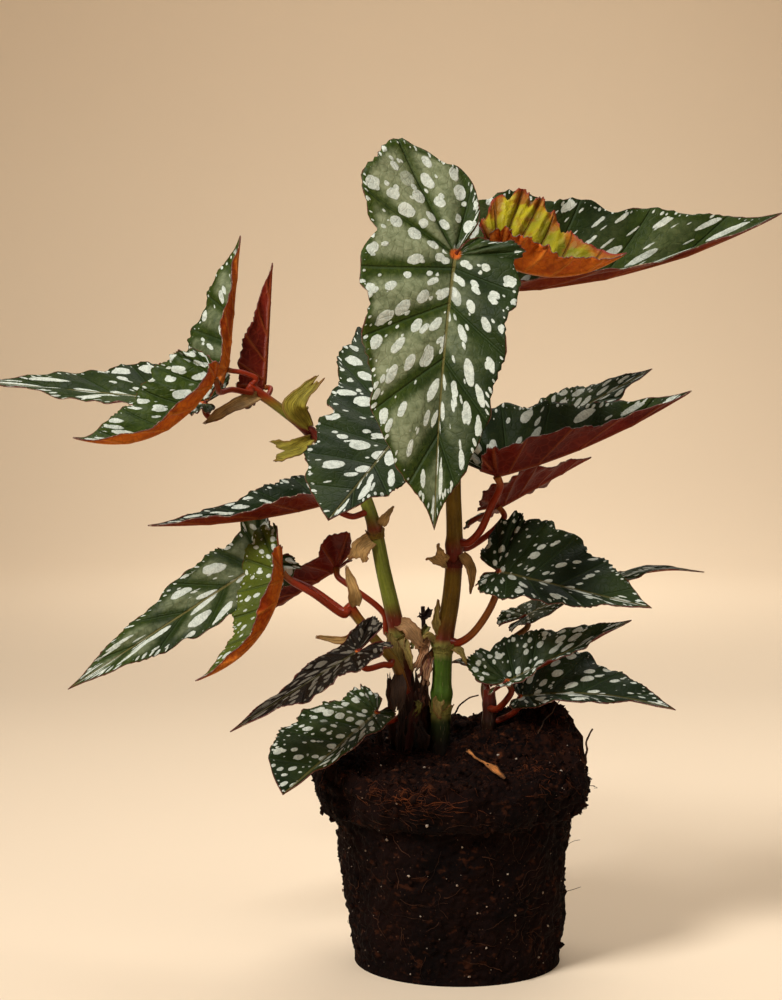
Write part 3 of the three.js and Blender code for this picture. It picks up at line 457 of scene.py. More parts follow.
def upper_material(name, young):
    """Waxy upper side: green, with a pale highlight painted where it bulges and painted shade on the darkest
    blades, silver spots, tan midrib, red dot and margin. The maps give the panel between two veins and the
    way along it, the flat place, and the run along the margin and distance from it, in millimetres; span is
    the width of a panel."""
    made, wire, shader = new_material(name, 0.4, 0.1)
    (panel, along), (u, v), (run, edge) = (wire.uv(key) for key in ("panel", "flat", "rim"))
    span, tone, size = wire.value("span"), wire.value("tone"), wire.value("size")
    stretch, lines, shine = wire.value("stretch"), wire.value("lines"), wire.value("shine")
    near = abs(panel - wire.math("ROUND", panel)) * 2.0
    vein = near * span * 0.5
    coarse = wire.noise(28.0, 3.0)
    fine = wire.noise(420.0, 3.0)
    grain = wire.noise(1500.0, 1.0)
    ragged = (wire.noise(330.0, 2.0) - 0.5) * 1.2

    # Seed, files, cell length, least and largest radius, and chance of a spot
    spots = 0.0
    for seed, files, step, sizes, chance in (
        (3.0, 1, 9.0, (1.5, 3.3), 0.76), (31.0, 1, 8.0, (0.7, 1.7), 0.4),
        (57.0, 2, 6.5, (0.4, 1.1), 0.28), (83.0, 3, 6.0, (0.25, 0.6), 0.18),
    ):
        layer = spot_layer(wire, panel, along, span, edge, size, stretch, seed, lines * files, step, sizes,
                           chance, ragged)
        spots = layer.most(spots)
    bead_centre = wire.node("TexVoronoi", {"voronoi_dimensions": "1D"},
                            {"W": run / BEAD_STEP, "Scale": 1.0, "Randomness": 0.9}, out=3)
    bead_size, bead_depth, _ = wire.parts(bead_centre.other("Color"))
    bead_u = (run / BEAD_STEP - bead_centre) * BEAD_STEP
    bead_v = (edge - 0.9 - bead_depth * 1.2) * 0.8
    bead_radius = (bead_size * 1.05 - 0.05) * (size * 0.8 + 0.2)
    spots = spots.most((bead_radius - distance(bead_u, bead_v) + ragged * 0.5).step(-0.1, 0.15))
    rib = (abs(u) / (0.85 - v * 0.006).most(0.3)).step(1.15, 0.55) * v.step(-0.5, 1.5)
    crease = vein.step(0.8, 0.1) * span.step(1.5, 4.0)
    net = wire.net(300.0).step(0.12, 0.0)

    if young:
        green = wire.color((coarse + near * 0.2).step(0.4, 0.75), (0.12, 0.12, 0.005), (0.4, 0.33, 0.01))
        blush = (edge * 0.05 + fine * 0.4 + near * 0.3 + coarse * 0.6).step(0.95, 0.5)
        base = wire.color(blush, green, (0.42, 0.1, 0.006))
        brown = wire.noise(150.0, 4.0) + edge.step(7.0, 0.0) * 0.16
        base = wire.color(brown.step(0.5, 0.66) * 0.75, base, (0.2, 0.045, 0.005))
        # Red-brown in the creases between the panels: painted shade.
        base = wire.color(crease * 0.8, base, (0.09, 0.035, 0.004))
        base = wire.color(spots * 0.12, base, (0.5, 0.4, 0.12))
        base = wire.color(edge.step(1.6, 0.2), base, (0.2, 0.02, 0.008))
    else:
        # Painted sheen: a pale highlight painted into the colour on the bulges between the veins, as strong as
        # tone and shine make it, and none near the margin.
        bulge = near.step(0.03, 0.65)
        light = bulge + 0.15 + (coarse - 0.5) * 1.7 + (fine - 0.5) * 0.3
        light = tone * shine * light * edge.step(0.0, 5.0)
        light = light.step(0.12, 1.05)
        dark_green = wire.color(coarse.step(0.3, 0.7), (0.006, 0.012, 0.0035), (0.015, 0.026, 0.005))
        leaf_green = wire.color(fine.step(0.3, 0.7), (0.022, 0.038, 0.003), (0.042, 0.062, 0.005))
        painted_sheen = wire.color(fine.step(0.3, 0.7), (0.16, 0.18, 0.09), (0.25, 0.27, 0.15))
        # Dark green or lighter green by tone: partly the blade's own green, partly painted light and shade.
        base = wire.color((tone * 0.8 + (coarse - 0.5) * 0.9 + 0.12).step(0.05, 0.95), dark_green, leaf_green)
        # Above a tone of 1 the green turns yellow: painted glow of light shining through the blade.
        base = wire.color((tone - 1.0).step(0.0, 0.6), base, (0.07, 0.088, 0.008))
        base = wire.color(light * (1.0 - net * 0.18), base, painted_sheen)
        # Near-black where the tone is below 0: painted shade over the blade.
        black = (-0.05 - tone).step(0.0, 0.4)
        base = wire.color(black * 0.95, base, (0.0065, 0.0026, 0.0009))
        base = wire.color(crease * (1.0 - black) * 0.45, base, (0.03, 0.05, 0.016))
        silver = wire.color((grain + fine - 0.4).step(0.2, 0.9), (0.4, 0.43, 0.36), (0.62, 0.65, 0.55))
        # The silver spots darken too in that painted shade.
        silver = wire.color(black * 0.93, silver, (0.095, 0.074, 0.05))
        base = wire.color(spots * (0.84 + fine * 0.16), base, silver)
        base = wire.color(rib * (tone.step(-0.4, 0.6) * 0.65 + 0.2), base, (0.13, 0.11, 0.03))
        red_edge = (edge + (fine - 0.5) * 0.5).step(0.5, 0.15)
        base = wire.color(red_edge * 0.85, base, (0.1, 0.016, 0.009))
    base = wire.color((distance(u, v) / size + (fine - 0.5)).step(3.0, 1.2) * 0.95, base, (0.5, 0.1, 0.012))
    rough = 0.5 - spots * 0.08 + (fine - 0.5) * 0.2
    raised = near * (1.0 - near * 0.4) * span * 0.1 + spots * 0.2 + fine * 0.3 + grain * 0.2
    feed(wire, shader, base, rough, raised - crease * 0.8 - rib * 0.6 - net * 0.15, 0.0006)
    return made


def under_material(name):
    """Underside: wine red, orange where light comes through, with raised veins a little paler."""
    made, wire, shader = new_material(name, 0.45, 0.1)
    (panel, _), (u, v), (_, edge) = (wire.uv(key) for key in ("panel", "flat", "rim"))
    span, glow = wire.value("span"), wire.value("glow")
    vein = abs(panel - wire.math("ROUND", panel)) * span
    coarse = wire.noise(40.0, 3.0)
    fine = wire.noise(500.0, 3.0)
    net = wire.net(260.0)
    rib = abs(u).step(1.5, 0.4) * v.step(-0.5, 1.5)
    lines = (vein.step(0.9, 0.2) * span.step(1.2, 3.0)).most(rib)
    wine = wire.color(coarse.step(0.3, 0.7), (0.06, 0.003, 0.0015), (0.13, 0.007, 0.003))
    orange = wire.color((coarse + (fine - 0.5) * 0.4).step(0.3, 0.7), (0.34, 0.04, 0.003), (0.6, 0.15, 0.01))
    # Orange, and the paler orange of the veins, is light coming through the blade, painted into the colour as
    # glow gives it.
    base = wire.color((glow + (fine - 0.5) * 0.3).step(0.1, 1.0), wine, orange)
    base = wire.color(glow * wire.noise(120.0, 4.0).step(0.5, 0.7) * 0.55, base, (0.17, 0.02, 0.003))
    base = wire.color(lines * 0.4, base, wire.color(glow, (0.2, 0.035, 0.01), (0.55, 0.2, 0.025)))
    base = wire.color(net.step(0.12, 0.0) * 0.25, base, (0.2, 0.03, 0.012))
    base = wire.color(edge.step(0.9, 0.2) * 0.6, base, (0.12, 0.02, 0.012))
    feed(wire, shader, base, 0.4 + fine * 0.15, lines * 1.2 + fine * 0.5 + net.step(0.15, 0.0) * 0.3, 0.0003)
    return made


def margin_material():
    """Thin cut edge between the faces: red brown, broken by pale flecks."""
    made, wire, shader = new_material("leaf_margin", 0.5)
    fleck = wire.noise(600.0, 2.0)
    base = wire.color(fleck.step(0.5, 0.72), (0.09, 0.016, 0.009), (0.3, 0.22, 0.13))
    feed(wire, shader, base, 0.45 + fleck * 0.2, fleck, 0.0001)
    return made


under = under_material("leaf_underside")
margin = margin_material()
faces_by_age = {age: upper_material("leaf_upper_young" if age else "leaf_upper", age) for age in (False, True)}

for number, leaf in enumerate(LEAVES):
    leaf["seed"] = 1.7 * number
    length = leaf_axes(leaf)[0]
    rows, columns = (120, 24) if length > 60 else (96, 16)
    lobe_rows = round(rows * LOBE_END / OUTLINE_END)
    p, x = np.meshgrid(np.linspace(0, OUTLINE_END, rows + 1), np.linspace(0, 1, columns + 1), indexing="ij")
    q = x**1.2
    tones = np.broadcast_to(leaf["tone"], 2)
    halves = []
    for side in (1, -1):
        place, flat, root, edge_line = blade_half(leaf, side, p, q)
        way = edge_line - root
        vein_length = np.linalg.norm(way, axis=-1)
        way = way / np.maximum(vein_length, 1e-6)[..., None]
        slide = np.gradient(flat, p[:, 0], axis=0) * VEIN_STEP
        span = np.abs(slide[..., 0] * way[..., 1] - slide[..., 1] * way[..., 0])

        # Distance of every point from the margin's nearest stretch
        line = edge_line[:, 0]
        stretch = np.diff(line, axis=0)
        offset = flat[:, :, None, :] - line[:-1]
        f = np.clip((offset * stretch).sum(-1) / np.maximum((stretch * stretch).sum(-1), 1e-9), 0, 1)
        margin_distance = np.linalg.norm(offset - f[..., None] * stretch, axis=-1).min(-1)

        # Number of the point that each grid point stands for: the midrib and both ends are shared
        order = np.arange(p.size).reshape(p.shape)
        if side < 0:
            order = order + p.size
            order[:, 0] -= p.size
        order[0, :] = 0
        order[:lobe_rows + 1, 0] = 0
        order[-1, :] = rows * (columns + 1)

        panel = p / VEIN_STEP + (0 if side > 0 else HALF_PANELS) + number * LEAF_PANELS
        run = run_along(line)[:, None] + (0 if side > 0 else HALF_RUN) + 0 * q
        vein_distance = np.abs(p / VEIN_STEP - np.round(p / VEIN_STEP)) * span
        midrib = np.exp(-flat[..., 0] ** 2) * np.clip(1.15 - flat[..., 1] / length, 0, 1)
        midrib = midrib * np.clip(flat[..., 1] / 4 + 0.5, 0, 1)
        ridge = VEIN_HEIGHT * np.exp(-(vein_distance / 0.55) ** 2) * np.clip(span / 4, 0, 1) * (1 - q)
        thick = BLADE_THICKNESS + MIDRIB_HEIGHT * midrib + ridge * (q > 0)
        # Where a blade has two tones, one half is lighter, fading across the midrib: painted light on the half
        # that faces it.
        tone = tones.mean() + (tones[0] - tones[1]) / 2 * np.clip(side * flat[..., 0] / 18, -1, 1)
        maps = np.stack([panel, vein_length * q], -1), flat * (side, 1), np.stack([run, margin_distance], -1)
        halves.append([place.reshape(-1, 3), *(grid.ravel() for grid in (order, span, tone, thick)),
                       *(grid.reshape(-1, 2) for grid in maps)])
    points, owner, span, tone, thick, *maps = (np.concatenate(values) for values in zip(*halves))
    i, j = cells(rows, columns)
    corner = i * (columns + 1) + j
    right_faces = split(corner, corner + 1, corner + columns + 2, corner + columns + 1)
    grid_faces = np.concatenate([right_faces, right_faces[:, ::-1] + p.size])
    solid = owner[grid_faces]
    keep = (solid[:, 0] != solid[:, 1]) & (solid[:, 1] != solid[:, 2]) & (solid[:, 2] != solid[:, 0])
    grid_faces = grid_faces[keep]
    used, compact = np.unique(owner[grid_faces], return_inverse=True)
    upper_faces = compact.reshape(-1, 3)
    top = points[used]
    bottom = top - corner_normals(top, upper_faces) * thick[used][:, None]
    count = len(top)
    edge_cells = np.arange(1, rows) * (columns + 1) + columns
    loop = [[0], owner[edge_cells], [rows * (columns + 1)], owner[edge_cells[::-1] + p.size]]
    loop = np.searchsorted(used, np.concatenate(loop))
    ahead = np.roll(loop, -1)
    rim_faces = split(ahead, loop, loop + count, ahead + count)
    corner_values = {}
    for key, values in zip(("panel", "flat", "rim"), maps):
        sides = [values[grid_faces].reshape(-1, 2), values[grid_faces[:, ::-1]].reshape(-1, 2)]
        corner_values[key] = np.concatenate([*sides, np.zeros((3 * len(rim_faces), 2))])
    size, stretch, lines = leaf.get("spot", (0.65, 0.6, 2))
    young = leaf.get("young", False)
    piece(leaf["name"] + "_blade", np.concatenate([top, bottom]),
          np.concatenate([upper_faces, upper_faces[:, ::-1] + count, rim_faces]),
          [faces_by_age[young], under, margin], "young_leaf" if young else "leaf", [leaf["name"]],
          corner_values,
          {"span": np.tile(span[used], 2), "tone": np.tile(tone[used], 2), "glow": leaf["glow"], "size": size,
           "stretch": stretch, "lines": lines, "shine": leaf.get("shine", 1)},
          np.repeat([0, 1, 2], [len(upper_faces), len(upper_faces), len(rim_faces)]))

# Canes, shoots and leaf stalks
# Two jointed canes with swollen rings at the nodes, a side shoot, a short red shoot from the soil and
# a dead brown stem. Each leaf stands on a thin red stalk that grows out of a cane's skin.
# The first colour is near-black for the canes' feet at the soil: peat dirt and painted shade.
SOIL_AND_SHADE, GREEN, PALE, RED = (0.006, 0.004, 0.002), (0.04, 0.078, 0.006), (0.2, 0.18, 0.04), (0.1, 0.011, 0.004)
OLIVE, TAN, DEAD, PINK = (0.115, 0.125, 0.014), (0.14, 0.08, 0.008), (0.016, 0.006, 0.003), (0.16, 0.055, 0.028)
STALK_RED, STALK_TAN = (0.2, 0.018, 0.003), (0.22, 0.07, 0.012)

# Middle line from the foot up, radius at its foot and top, heights of the rings, and colours by height
CANES = {
    "cane_right": dict(
        path=[(-8, 0, 80), (-8, 0, 94), (-7, 0, 116), (-6, 0, 139), (-3, 0, 158), (-1.5, 0, 182),
              (-2, -1, 206), (-1, -3, 237), (-1, -6, 262), (0, -10, 277)],
        radius=(4.6, 2.4), rings=(117, 139, 182, 228, 262),
        # Near-black and then dark green at the foot by the soil: peat dirt and painted shade.
        tints=[(95, SOIL_AND_SHADE), (105, (0.014, 0.026, 0.004)), (108, PALE), (111, PALE), (114, GREEN), (132, GREEN),
               (135, PALE), (139, PALE), (141, RED), (152, TAN), (169, TAN), (173, RED), (180, RED), (187, TAN),
               (222, TAN), (228, RED), (236, OLIVE), (256, TAN), (262, RED), (270, TAN)]),
    "cane_left": dict(
        path=[(-20, 4, 80), (-20, 4, 94), (-22, 4, 118), (-26, 3, 143), (-32, 0, 169), (-37, -2, 193),
              (-46, -2, 214), (-63, 2, 230), (-77, 4, 241), (-91, 2, 251)],
        radius=(4.2, 1.9), rings=(143, 189, 231, 249),
        tints=[(95, SOIL_AND_SHADE), (112, DEAD), (128, RED), (139, GREEN), (143, PALE), (146, RED), (150, RED),
               (157, OLIVE), (183, OLIVE), (189, RED), (196, OLIVE), (224, OLIVE), (228, RED), (234, RED),
               (238, OLIVE), (243, TAN), (247, STALK_RED)]),
    "shoot_low_left": dict(
        path=[(-22.8, -2.2, 118), (-24, -4, 122), (-27, -7, 131), (-36, -10, 142), (-47.5, -14, 157.5)],
        radius=(2.4, 2.1), rings=(156,), tints=[(118, RED), (134, TAN), (150, TAN), (156, STALK_RED)]),
    "dry_stalk": dict(
        path=[(-13, 12, 80), (-13, 12, 100), (-14, 10, 128), (-15, 10, 154)], radius=(1.3, 0.9), rings=(),
        tints=[(80, DEAD), (112, DEAD), (124, PINK), (140, PINK), (143, DEAD)]),
    "basal_shoot": dict(path=[(14, 4, 86), (14, 4, 118)], radius=(3.4, 2.6), rings=(104, 112),
                        tints=[(104, DEAD), (112, (0.04, 0.007, 0.004)), (118, RED)]),
}
RING_SWELL, RING_REACH = 0.16, 2.6
SEAT_STEPS = (-1.4, 0.35, 2.35)
LINE_STEPS = 400
CANE_STEPS, CANE_SIDES = 150, 28
STALK_STEPS, STALK_SIDES = 44, 14


def route(points, count):
    """Even steps along a centripetal curve: each stretch is a cubic whose end slopes weigh the
    neighbouring points by the square roots of their distances."""
    points = np.asarray(points, float)
    padded = np.vstack([2 * points[0] - points[1], points, 2 * points[-1] - points[-2]])
    a, b, c, d = padded[:-3], padded[1:-2], padded[2:-1], padded[3:]
    gap = np.sqrt(np.linalg.norm(np.diff(padded, axis=0), axis=1))[:, None]
    before, within, after = gap[:-2], gap[1:-1], gap[2:]
    start = ((b - a) / before - (c - a) / (before + within) + (c - b) / within) * within
    finish = ((c - b) / within - (d - b) / (within + after) + (d - c) / after) * within
    f = np.linspace(0, 1, 40, endpoint=False)[None, :, None]
    b, c, start, finish = (value[:, None, :] for value in (b, c, start, finish))
    dense = b + start * f + (3 * (c - b) - 2 * start - finish) * f**2 + (2 * (b - c) + start + finish) * f**3
    dense = np.vstack([dense.reshape(-1, 3), points[-1:]])
    run = run_along(dense)
    even = np.linspace(0, run[-1], count)
    return np.stack([np.interp(even, run, dense[:, k]) for k in range(3)], -1)


def ring_faces(rows, sides):
    """Faces of a stack of rings, closed by one more point at its foot and one at its head."""
    i, k = cells(rows - 1, sides)
    a, b = i * sides + k, i * sides + (k + 1) % sides
    k = np.arange(sides)
    after, last, foot = (k + 1) % sides, (rows - 1) * sides, 0 * k + rows * sides
    return np.concatenate([split(a, b, b + sides, a + sides), np.stack([foot, after, k], -1),
                           np.stack([foot + 1, last + k, last + after], -1)])


def tube(path, radius, sides):
    """Rings of points square to a path, carried along it without twist, closed by a point at each end.
    radius is one number to a ring or one to a point. Returns points, faces, the skin's unrolled place of
    each face corner, as share round it and millimetres along it, and each point's share of the length."""
    count = len(path)
    tangents = unit(np.gradient(path, axis=0))
    normal = np.cross(tangents[0], (0.31, 0.95, 0.05))
    normals = []
    for tangent in tangents:
        normal = unit(normal - normal @ tangent * tangent)
        normals.append(normal)
    normals = np.array(normals)
    turn = np.linspace(0, 2 * np.pi, sides, endpoint=False)
    radius = np.broadcast_to(np.asarray(radius).reshape(count, -1), (count, sides))
    others = np.cross(tangents, normals)
    spread = normals[:, None] * np.cos(turn)[:, None] + others[:, None] * np.sin(turn)[:, None]
    points = np.vstack([(path[:, None] + spread * radius[..., None]).reshape(-1, 3), path[:1], path[-1:]])
    faces = ring_faces(count, sides)
    run = run_along(path)
    place = np.stack(np.broadcast_arrays(np.arange(sides) / sides, run[:, None]), -1).reshape(-1, 2)
    skin = np.vstack([place, [[0.5, run[0]], [0.5, run[-1]]]])[faces]
    wraps = (skin[..., 0].max(1) - skin[..., 0].min(1) > 0.5)[:, None] & (skin[..., 0] < 0.4)
    skin[..., 0] += wraps
    return points, faces, skin.reshape(-1, 2), np.append(np.repeat(run / run[-1], sides), [0, 1])


def joined(parts):
    """Several meshes as one. Each is points, faces and any values to a point or to a face corner."""
    shifts = np.cumsum([0, *(len(part[0]) for part in parts)])
    parts = [(part[0], part[1] + shift, *part[2:]) for part, shift in zip(parts, shifts)]
    return [np.concatenate(column) for column in zip(*parts)]


def cane_radius(cane, share, height):
    """Radius along a cane: tapers from foot to top, with a soft swelling at each ring."""
    swell = sum(np.exp(-((height - ring) / RING_REACH) ** 2) for ring in cane["rings"])
    first, last = cane["radius"]
    return (first + (last - first) * share**1.2) * (1 + RING_SWELL * swell)


def cane_at(name, height):
    """Middle, direction and radius of a cane at a height, or at its end where that is lower."""
    line = route(CANES[name]["path"], LINE_STEPS + 1)
    k = int(np.argmax(line[:, 2] >= height)) or LINE_STEPS
    radius = float(cane_radius(CANES[name], k / LINE_STEPS, line[k, 2]))
    return line[k], unit(np.gradient(line, axis=0)[k]), radius


def seat(name, height, toward):
    """Point inside a cane's skin at a height, then one on its skin and one 2 mm further out, on the
    side that looks toward a point."""
    middle, tangent, radius = cane_at(name, height)
    way = toward - middle
    out = unit(way - way @ tangent * tangent)
    return [middle + out * (radius + step) for step in SEAT_STEPS]


def skin_material(name, roughness):
    """Stem skin: the colour set along the stem in fine lengthwise streaks, with pale pores, and near-black
    at its foot from peat dust and painted shade."""
    made, wire, shader = new_material(name, roughness, 0.16)
    around, along = wire.uv("skin")
    turn = around * (2 * np.pi)
    place = wire.vector(wire.math("COSINE", turn) * 3.0, wire.math("SINE", turn) * 3.0, along * 0.07)
    streaks = wire.noise(1.0, 3.0, place)
    coarse = wire.noise(90.0, 3.0)
    fine = wire.noise(900.0, 2.0)
    shade = (streaks - 0.5) * 1.3 + (coarse - 0.5) * 1.1 + (fine - 0.5) * 0.4 + 1
    base = wire.scaled(wire.value("tint", 0), shade.most(0.3))
    pore = wire.node("TexVoronoi", {}, {"Vector": place, "Scale": 2.4}).step(0.22, 0.1)
    base = wire.color(pore * 0.35, base, (0.3, 0.22, 0.1))
    # Near-black toward the soil: peat dust and painted shade.
    base = wire.color((wire.value("dust_and_shade") + (fine - 0.5) * 0.8).step(0.2, 0.9), base, (0.008, 0.005, 0.003))
    feed(wire, shader, base, roughness + (fine - 0.5) * 0.2, streaks * 0.6 + fine * 0.25 + pore * 0.5, 0.0003)
    return made


def ramp(stops, values):
    """Colour at each value, in straight steps between the stops' own values."""
    marks = [mark for mark, _ in stops]
    return np.stack([np.interp(values, marks, [color[k] for _, color in stops]) for k in range(3)], -1)


stem_skins = {"cane": skin_material("cane_skin", 0.42), "leaf_stalk": skin_material("stalk_skin", 0.38),
              "dry_scrap": skin_material("dead_skin", 0.8)}


def stem_piece(name, tubes, slot, replaced):
    """One mesh object from several tubes, each with its colours, darkened near the soil by peat dust and
    painted shade.
    """
    points, faces, skin, tint = joined(tubes)
    dust_and_shade = np.exp(-np.maximum(points[:, 2] - 90, 0) / 8)
    piece(name, points, faces, [stem_skins[slot]], slot, replaced, {"skin": skin}, {"dust_and_shade": dust_and_shade}, tint=tint)


def cane_tube(cane):
    """Tube of one cane, faintly ribbed, with its colours."""
    line = route(cane["path"], CANE_STEPS)
    height = line[:, 2:]
    turn = np.linspace(0, 2 * np.pi, CANE_SIDES, endpoint=False)
    radius = cane_radius(cane, np.linspace(0, 1, CANE_STEPS)[:, None], height)
    rough = 0.015 * np.cos(5 * turn + height * 0.08) + 0.012 * np.sin(3 * turn + height * 0.21)
    points, faces, skin, _ = tube(line, radius * (1 + rough), CANE_SIDES)
    return points, faces, skin, ramp(cane["tints"], points[:, 2])


def stalk_tube(leaf):
    """Tube of one leaf stalk, from inside the cane's skin to the underside of the blade, flared at
    both ends, with its colours."""
    _, up, _ = leaf_axes(leaf)
    via = [np.array(point, float) for point in leaf["stalk"]]
    root = seat(*leaf["stem"], via[0]) if "stem" in leaf else []
    at = np.array(leaf["at"], float)
    line = route([*root, *via, at - up * leaf.get("reach", 5), at - up * 0.5], STALK_STEPS)
    share = np.linspace(0, 1, STALK_STEPS)
    first, last = leaf["thick"]
    flare = 1 + 0.3 * np.exp(-share / 0.035) + 0.22 * np.exp(-(1 - share) / 0.04)
    turn = np.linspace(0, 2 * np.pi, STALK_SIDES, endpoint=False)
    groove = 1 - 0.05 * np.exp(-((turn - 2) / 0.5) ** 2)
    radius = ((first + (last - first) * share) * flare)[:, None] * groove
    points, faces, skin, share = tube(line, radius, STALK_SIDES)
    middle = np.add(STALK_RED, np.subtract(STALK_TAN, STALK_RED) * leaf.get("ripe", 0.0))
    tint = ramp([(0, RED), (0.12, STALK_RED), (0.3, middle), (0.85, middle), (1, STALK_TAN)], share)
    # Stalks with no cane, low on the basal shoot under the leaves, are darkened: painted shade.
    return points, faces, skin, tint * (1 if "stem" in leaf else 0.6)


for name, cane in CANES.items():
    tubes = [cane_tube(cane)]
    if name == "basal_shoot":
        tubes += [stalk_tube(leaf) for leaf in LEAVES if "stem" not in leaf]
    slot = {"dry_stalk": "dry_scrap", "basal_shoot": "leaf_stalk"}.get(name, "cane")
    stem_piece(name + "_stem", tubes, slot, [name])
for leaf in LEAVES:
    if "stem" in leaf:
        name = leaf["name"].replace("leaf", "stalk")
        stem_piece(name + "_tube", [stalk_tube(leaf)], "leaf_stalk", [name])

# Stipules and dry scraps
# Papery scales stand at the nodes, olive while fresh and tan when old. A shrivelled leaf hangs from the
# low shoot, torn sheaths and collars cling to the nodes, and dead scraps stand between the stems.

# Cane and height of the foot, the curve, half width, cup, widths along it and notch at its end
SCALES = {
    "stipule_high_upper": dict(stem=("cane_left", 232), spine=[(-70, -8, 243), (-59, -9, 255)], half=5.2,
                               cup=2.5, shape=(0.3, 0.8, 1, 0.55, 0.35), notch=0.2),
    "stipule_high_lower": dict(stem=("cane_left", 229), spine=[(-71, -7, 224), (-80, -9, 223)], half=5,
                               cup=2, shape=(0.3, 0.6, 0.75, 0.85, 1), notch=0.3),
    "stipule_low_upper": dict(stem=("shoot_low_left", 156), spine=[(-45, -18, 164), (-48, -17, 174)],
                              half=2.8, cup=1.4, shape=(0.5, 1, 0.9, 0.6, 0.15)),
    "stipule_low_under": dict(stem=("shoot_low_left", 147), spine=[(-49, -21, 143), (-60, -23, 145)],
                              half=2.2, cup=1, shape=(0.5, 1, 0.8, 0.5, 0.15)),
    "stipule_right_short": dict(stem=("cane_right", 174), spine=[(-8, -5, 176.5), (-11.5, -7, 180)],
                                half=4.2, cup=1.5, shape=(0.6, 0.7, 0.75, 0.9, 1), notch=0.35),
    "stipule_right_long": dict(stem=("cane_right", 178), spine=[(5.5, -6, 172), (5.5, -6, 162)],
                               half=2.4, cup=0.8, shape=(0.7, 1, 0.8, 0.45, 0.05)),
    "stipule_left_short": dict(stem=("cane_left", 185), spine=[(-42, -6, 181), (-43.5, -6.5, 175.5)],
                               half=4, cup=1.8, shape=(0.8, 0.9, 1, 1, 1), notch=0.15),
    "stipule_left_point": dict(stem=("cane_left", 190), spine=[(-31, -6, 195), (-28, -6, 199)],
                               half=2.2, cup=0.7, shape=(0.7, 1, 0.7, 0.4, 0.05)),
    "stipule_end_curl": dict(stem=("cane_left", 247.4), spine=[(-97, -15, 242), (-107, -22, 236)],
                             half=2.8, cup=1.2, shape=(0.7, 1, 0.9, 0.7, 0.15)),
    "dry_leaf": dict(stem=("shoot_low_left", 127), spine=[(-26, -13, 119), (-27, -17, 111)],
                     half=3.5, cup=1.6, shape=(0.5, 0.9, 1, 0.7, 0.3), notch=0.2),
}
POINTED, TORN = (0.8, 1, 0.8, 0.5, 0.1), (0.7, 0.9, 1, 0.8, 0.5)

# Cane and height of each sheath's foot, its curve, half width, cup and widths
SHEATHS = [
    ("cane_right", 143, [(-9.5, -3, 149), (-8.5, -3.5, 158)], 2.2, 1.2, POINTED),
    ("cane_left", 147, [(-21, -4, 146), (-16, -5, 138)], 3.4, 1.4, TORN),
    ("cane_left", 143, [(-27, -3, 137), (-24, -4, 129)], 4.2, 2, POINTED),
    ("cane_left", 141, [(-22, -4, 136), (-20, -4.5, 128)], 2.2, 1.2, POINTED),
    ("cane_right", 138, [(1, -5, 136), (3.5, -6, 131)], 1.8, 1, POINTED),
    ("cane_right", 115, [(-9, -5.6, 112), (-8, -6, 107)], 2.4, 1.5, POINTED),
    ("cane_right", 139, [(-13, -3, 143), (-16, -4, 141)], 1.5, 0.8, POINTED),
]

# Cane, height, how tall it is, how far it flares and its colour
COLLARS = [("cane_right", 134.5, 5.5, 1.6, PALE), ("cane_left", 139, 5, 1.3, PALE),
           ("cane_right", 108, 4.5, 0.9, PALE), ("cane_right", 172, 4.5, 0.7, RED),
           ("cane_left", 185, 4, 0.8, TAN)]
RUST, STRAW = (0.045, 0.014, 0.006), (0.34, 0.17, 0.08)

# Curve, half width and colour
SCRAPS = [
    ([(-12, 1, 143), (-15, -3, 136), (-19, -4, 127)], 1.7, STRAW),
    ([(-13, 4, 146), (-17, 1, 141), (-22, -2, 137)], 1.7, PALE),
    ([(-10, 3, 136), (-13, -3, 130), (-14, -5, 121)], 1.7, STRAW),
    ([(-17, 2, 139), (-14, -2, 133), (-16, -5, 124)], 2.2, PINK),
    ([(-12, 8, 153), (-14, 6, 150), (-17, 5, 151)], 1.5, DEAD),
    ([(-28, 0, 92), (-29, -4, 108), (-30, -5, 126)], 1.5, RUST),
    ([(-26, -1, 90), (-25, -5, 99), (-24, -6, 114)], 1.7, DEAD),
    ([(-32, 1, 90), (-34, -3, 97), (-33, -4, 108)], 1.4, DEAD),
    ([(-17, -1, 90), (-15, -5, 97), (-18, -6, 106)], 2.4, DEAD),
    ([(-22, -3, 92), (-20, -5, 104), (-17, -5, 118)], 1.9, (0.035, 0.007, 0.004)),
    ([(-19, -4, 108), (-17, -6, 112), (-18, -6, 115)], 1.2, PALE),
    ([(-16, 6, 92), (-16, 3, 106), (-14, 1, 122)], 2.8, RUST),
    ([(-19, 5, 92), (-18, 3, 108), (-19, 1, 126)], 2.2, (0.03, 0.009, 0.004)),
    ([(-12, 7, 92), (-13, 5, 103), (-12, 2, 116)], 2.4, DEAD),
    ([(-14, 6, 128), (-15, 3, 119), (-16, 0, 110)], 1.6, PINK),
]
FACING = np.array([0.15, -1, 0.3])
SHEET_THICKNESS = 0.35
SHEET_STEPS, SHEET_ACROSS = 26, 10


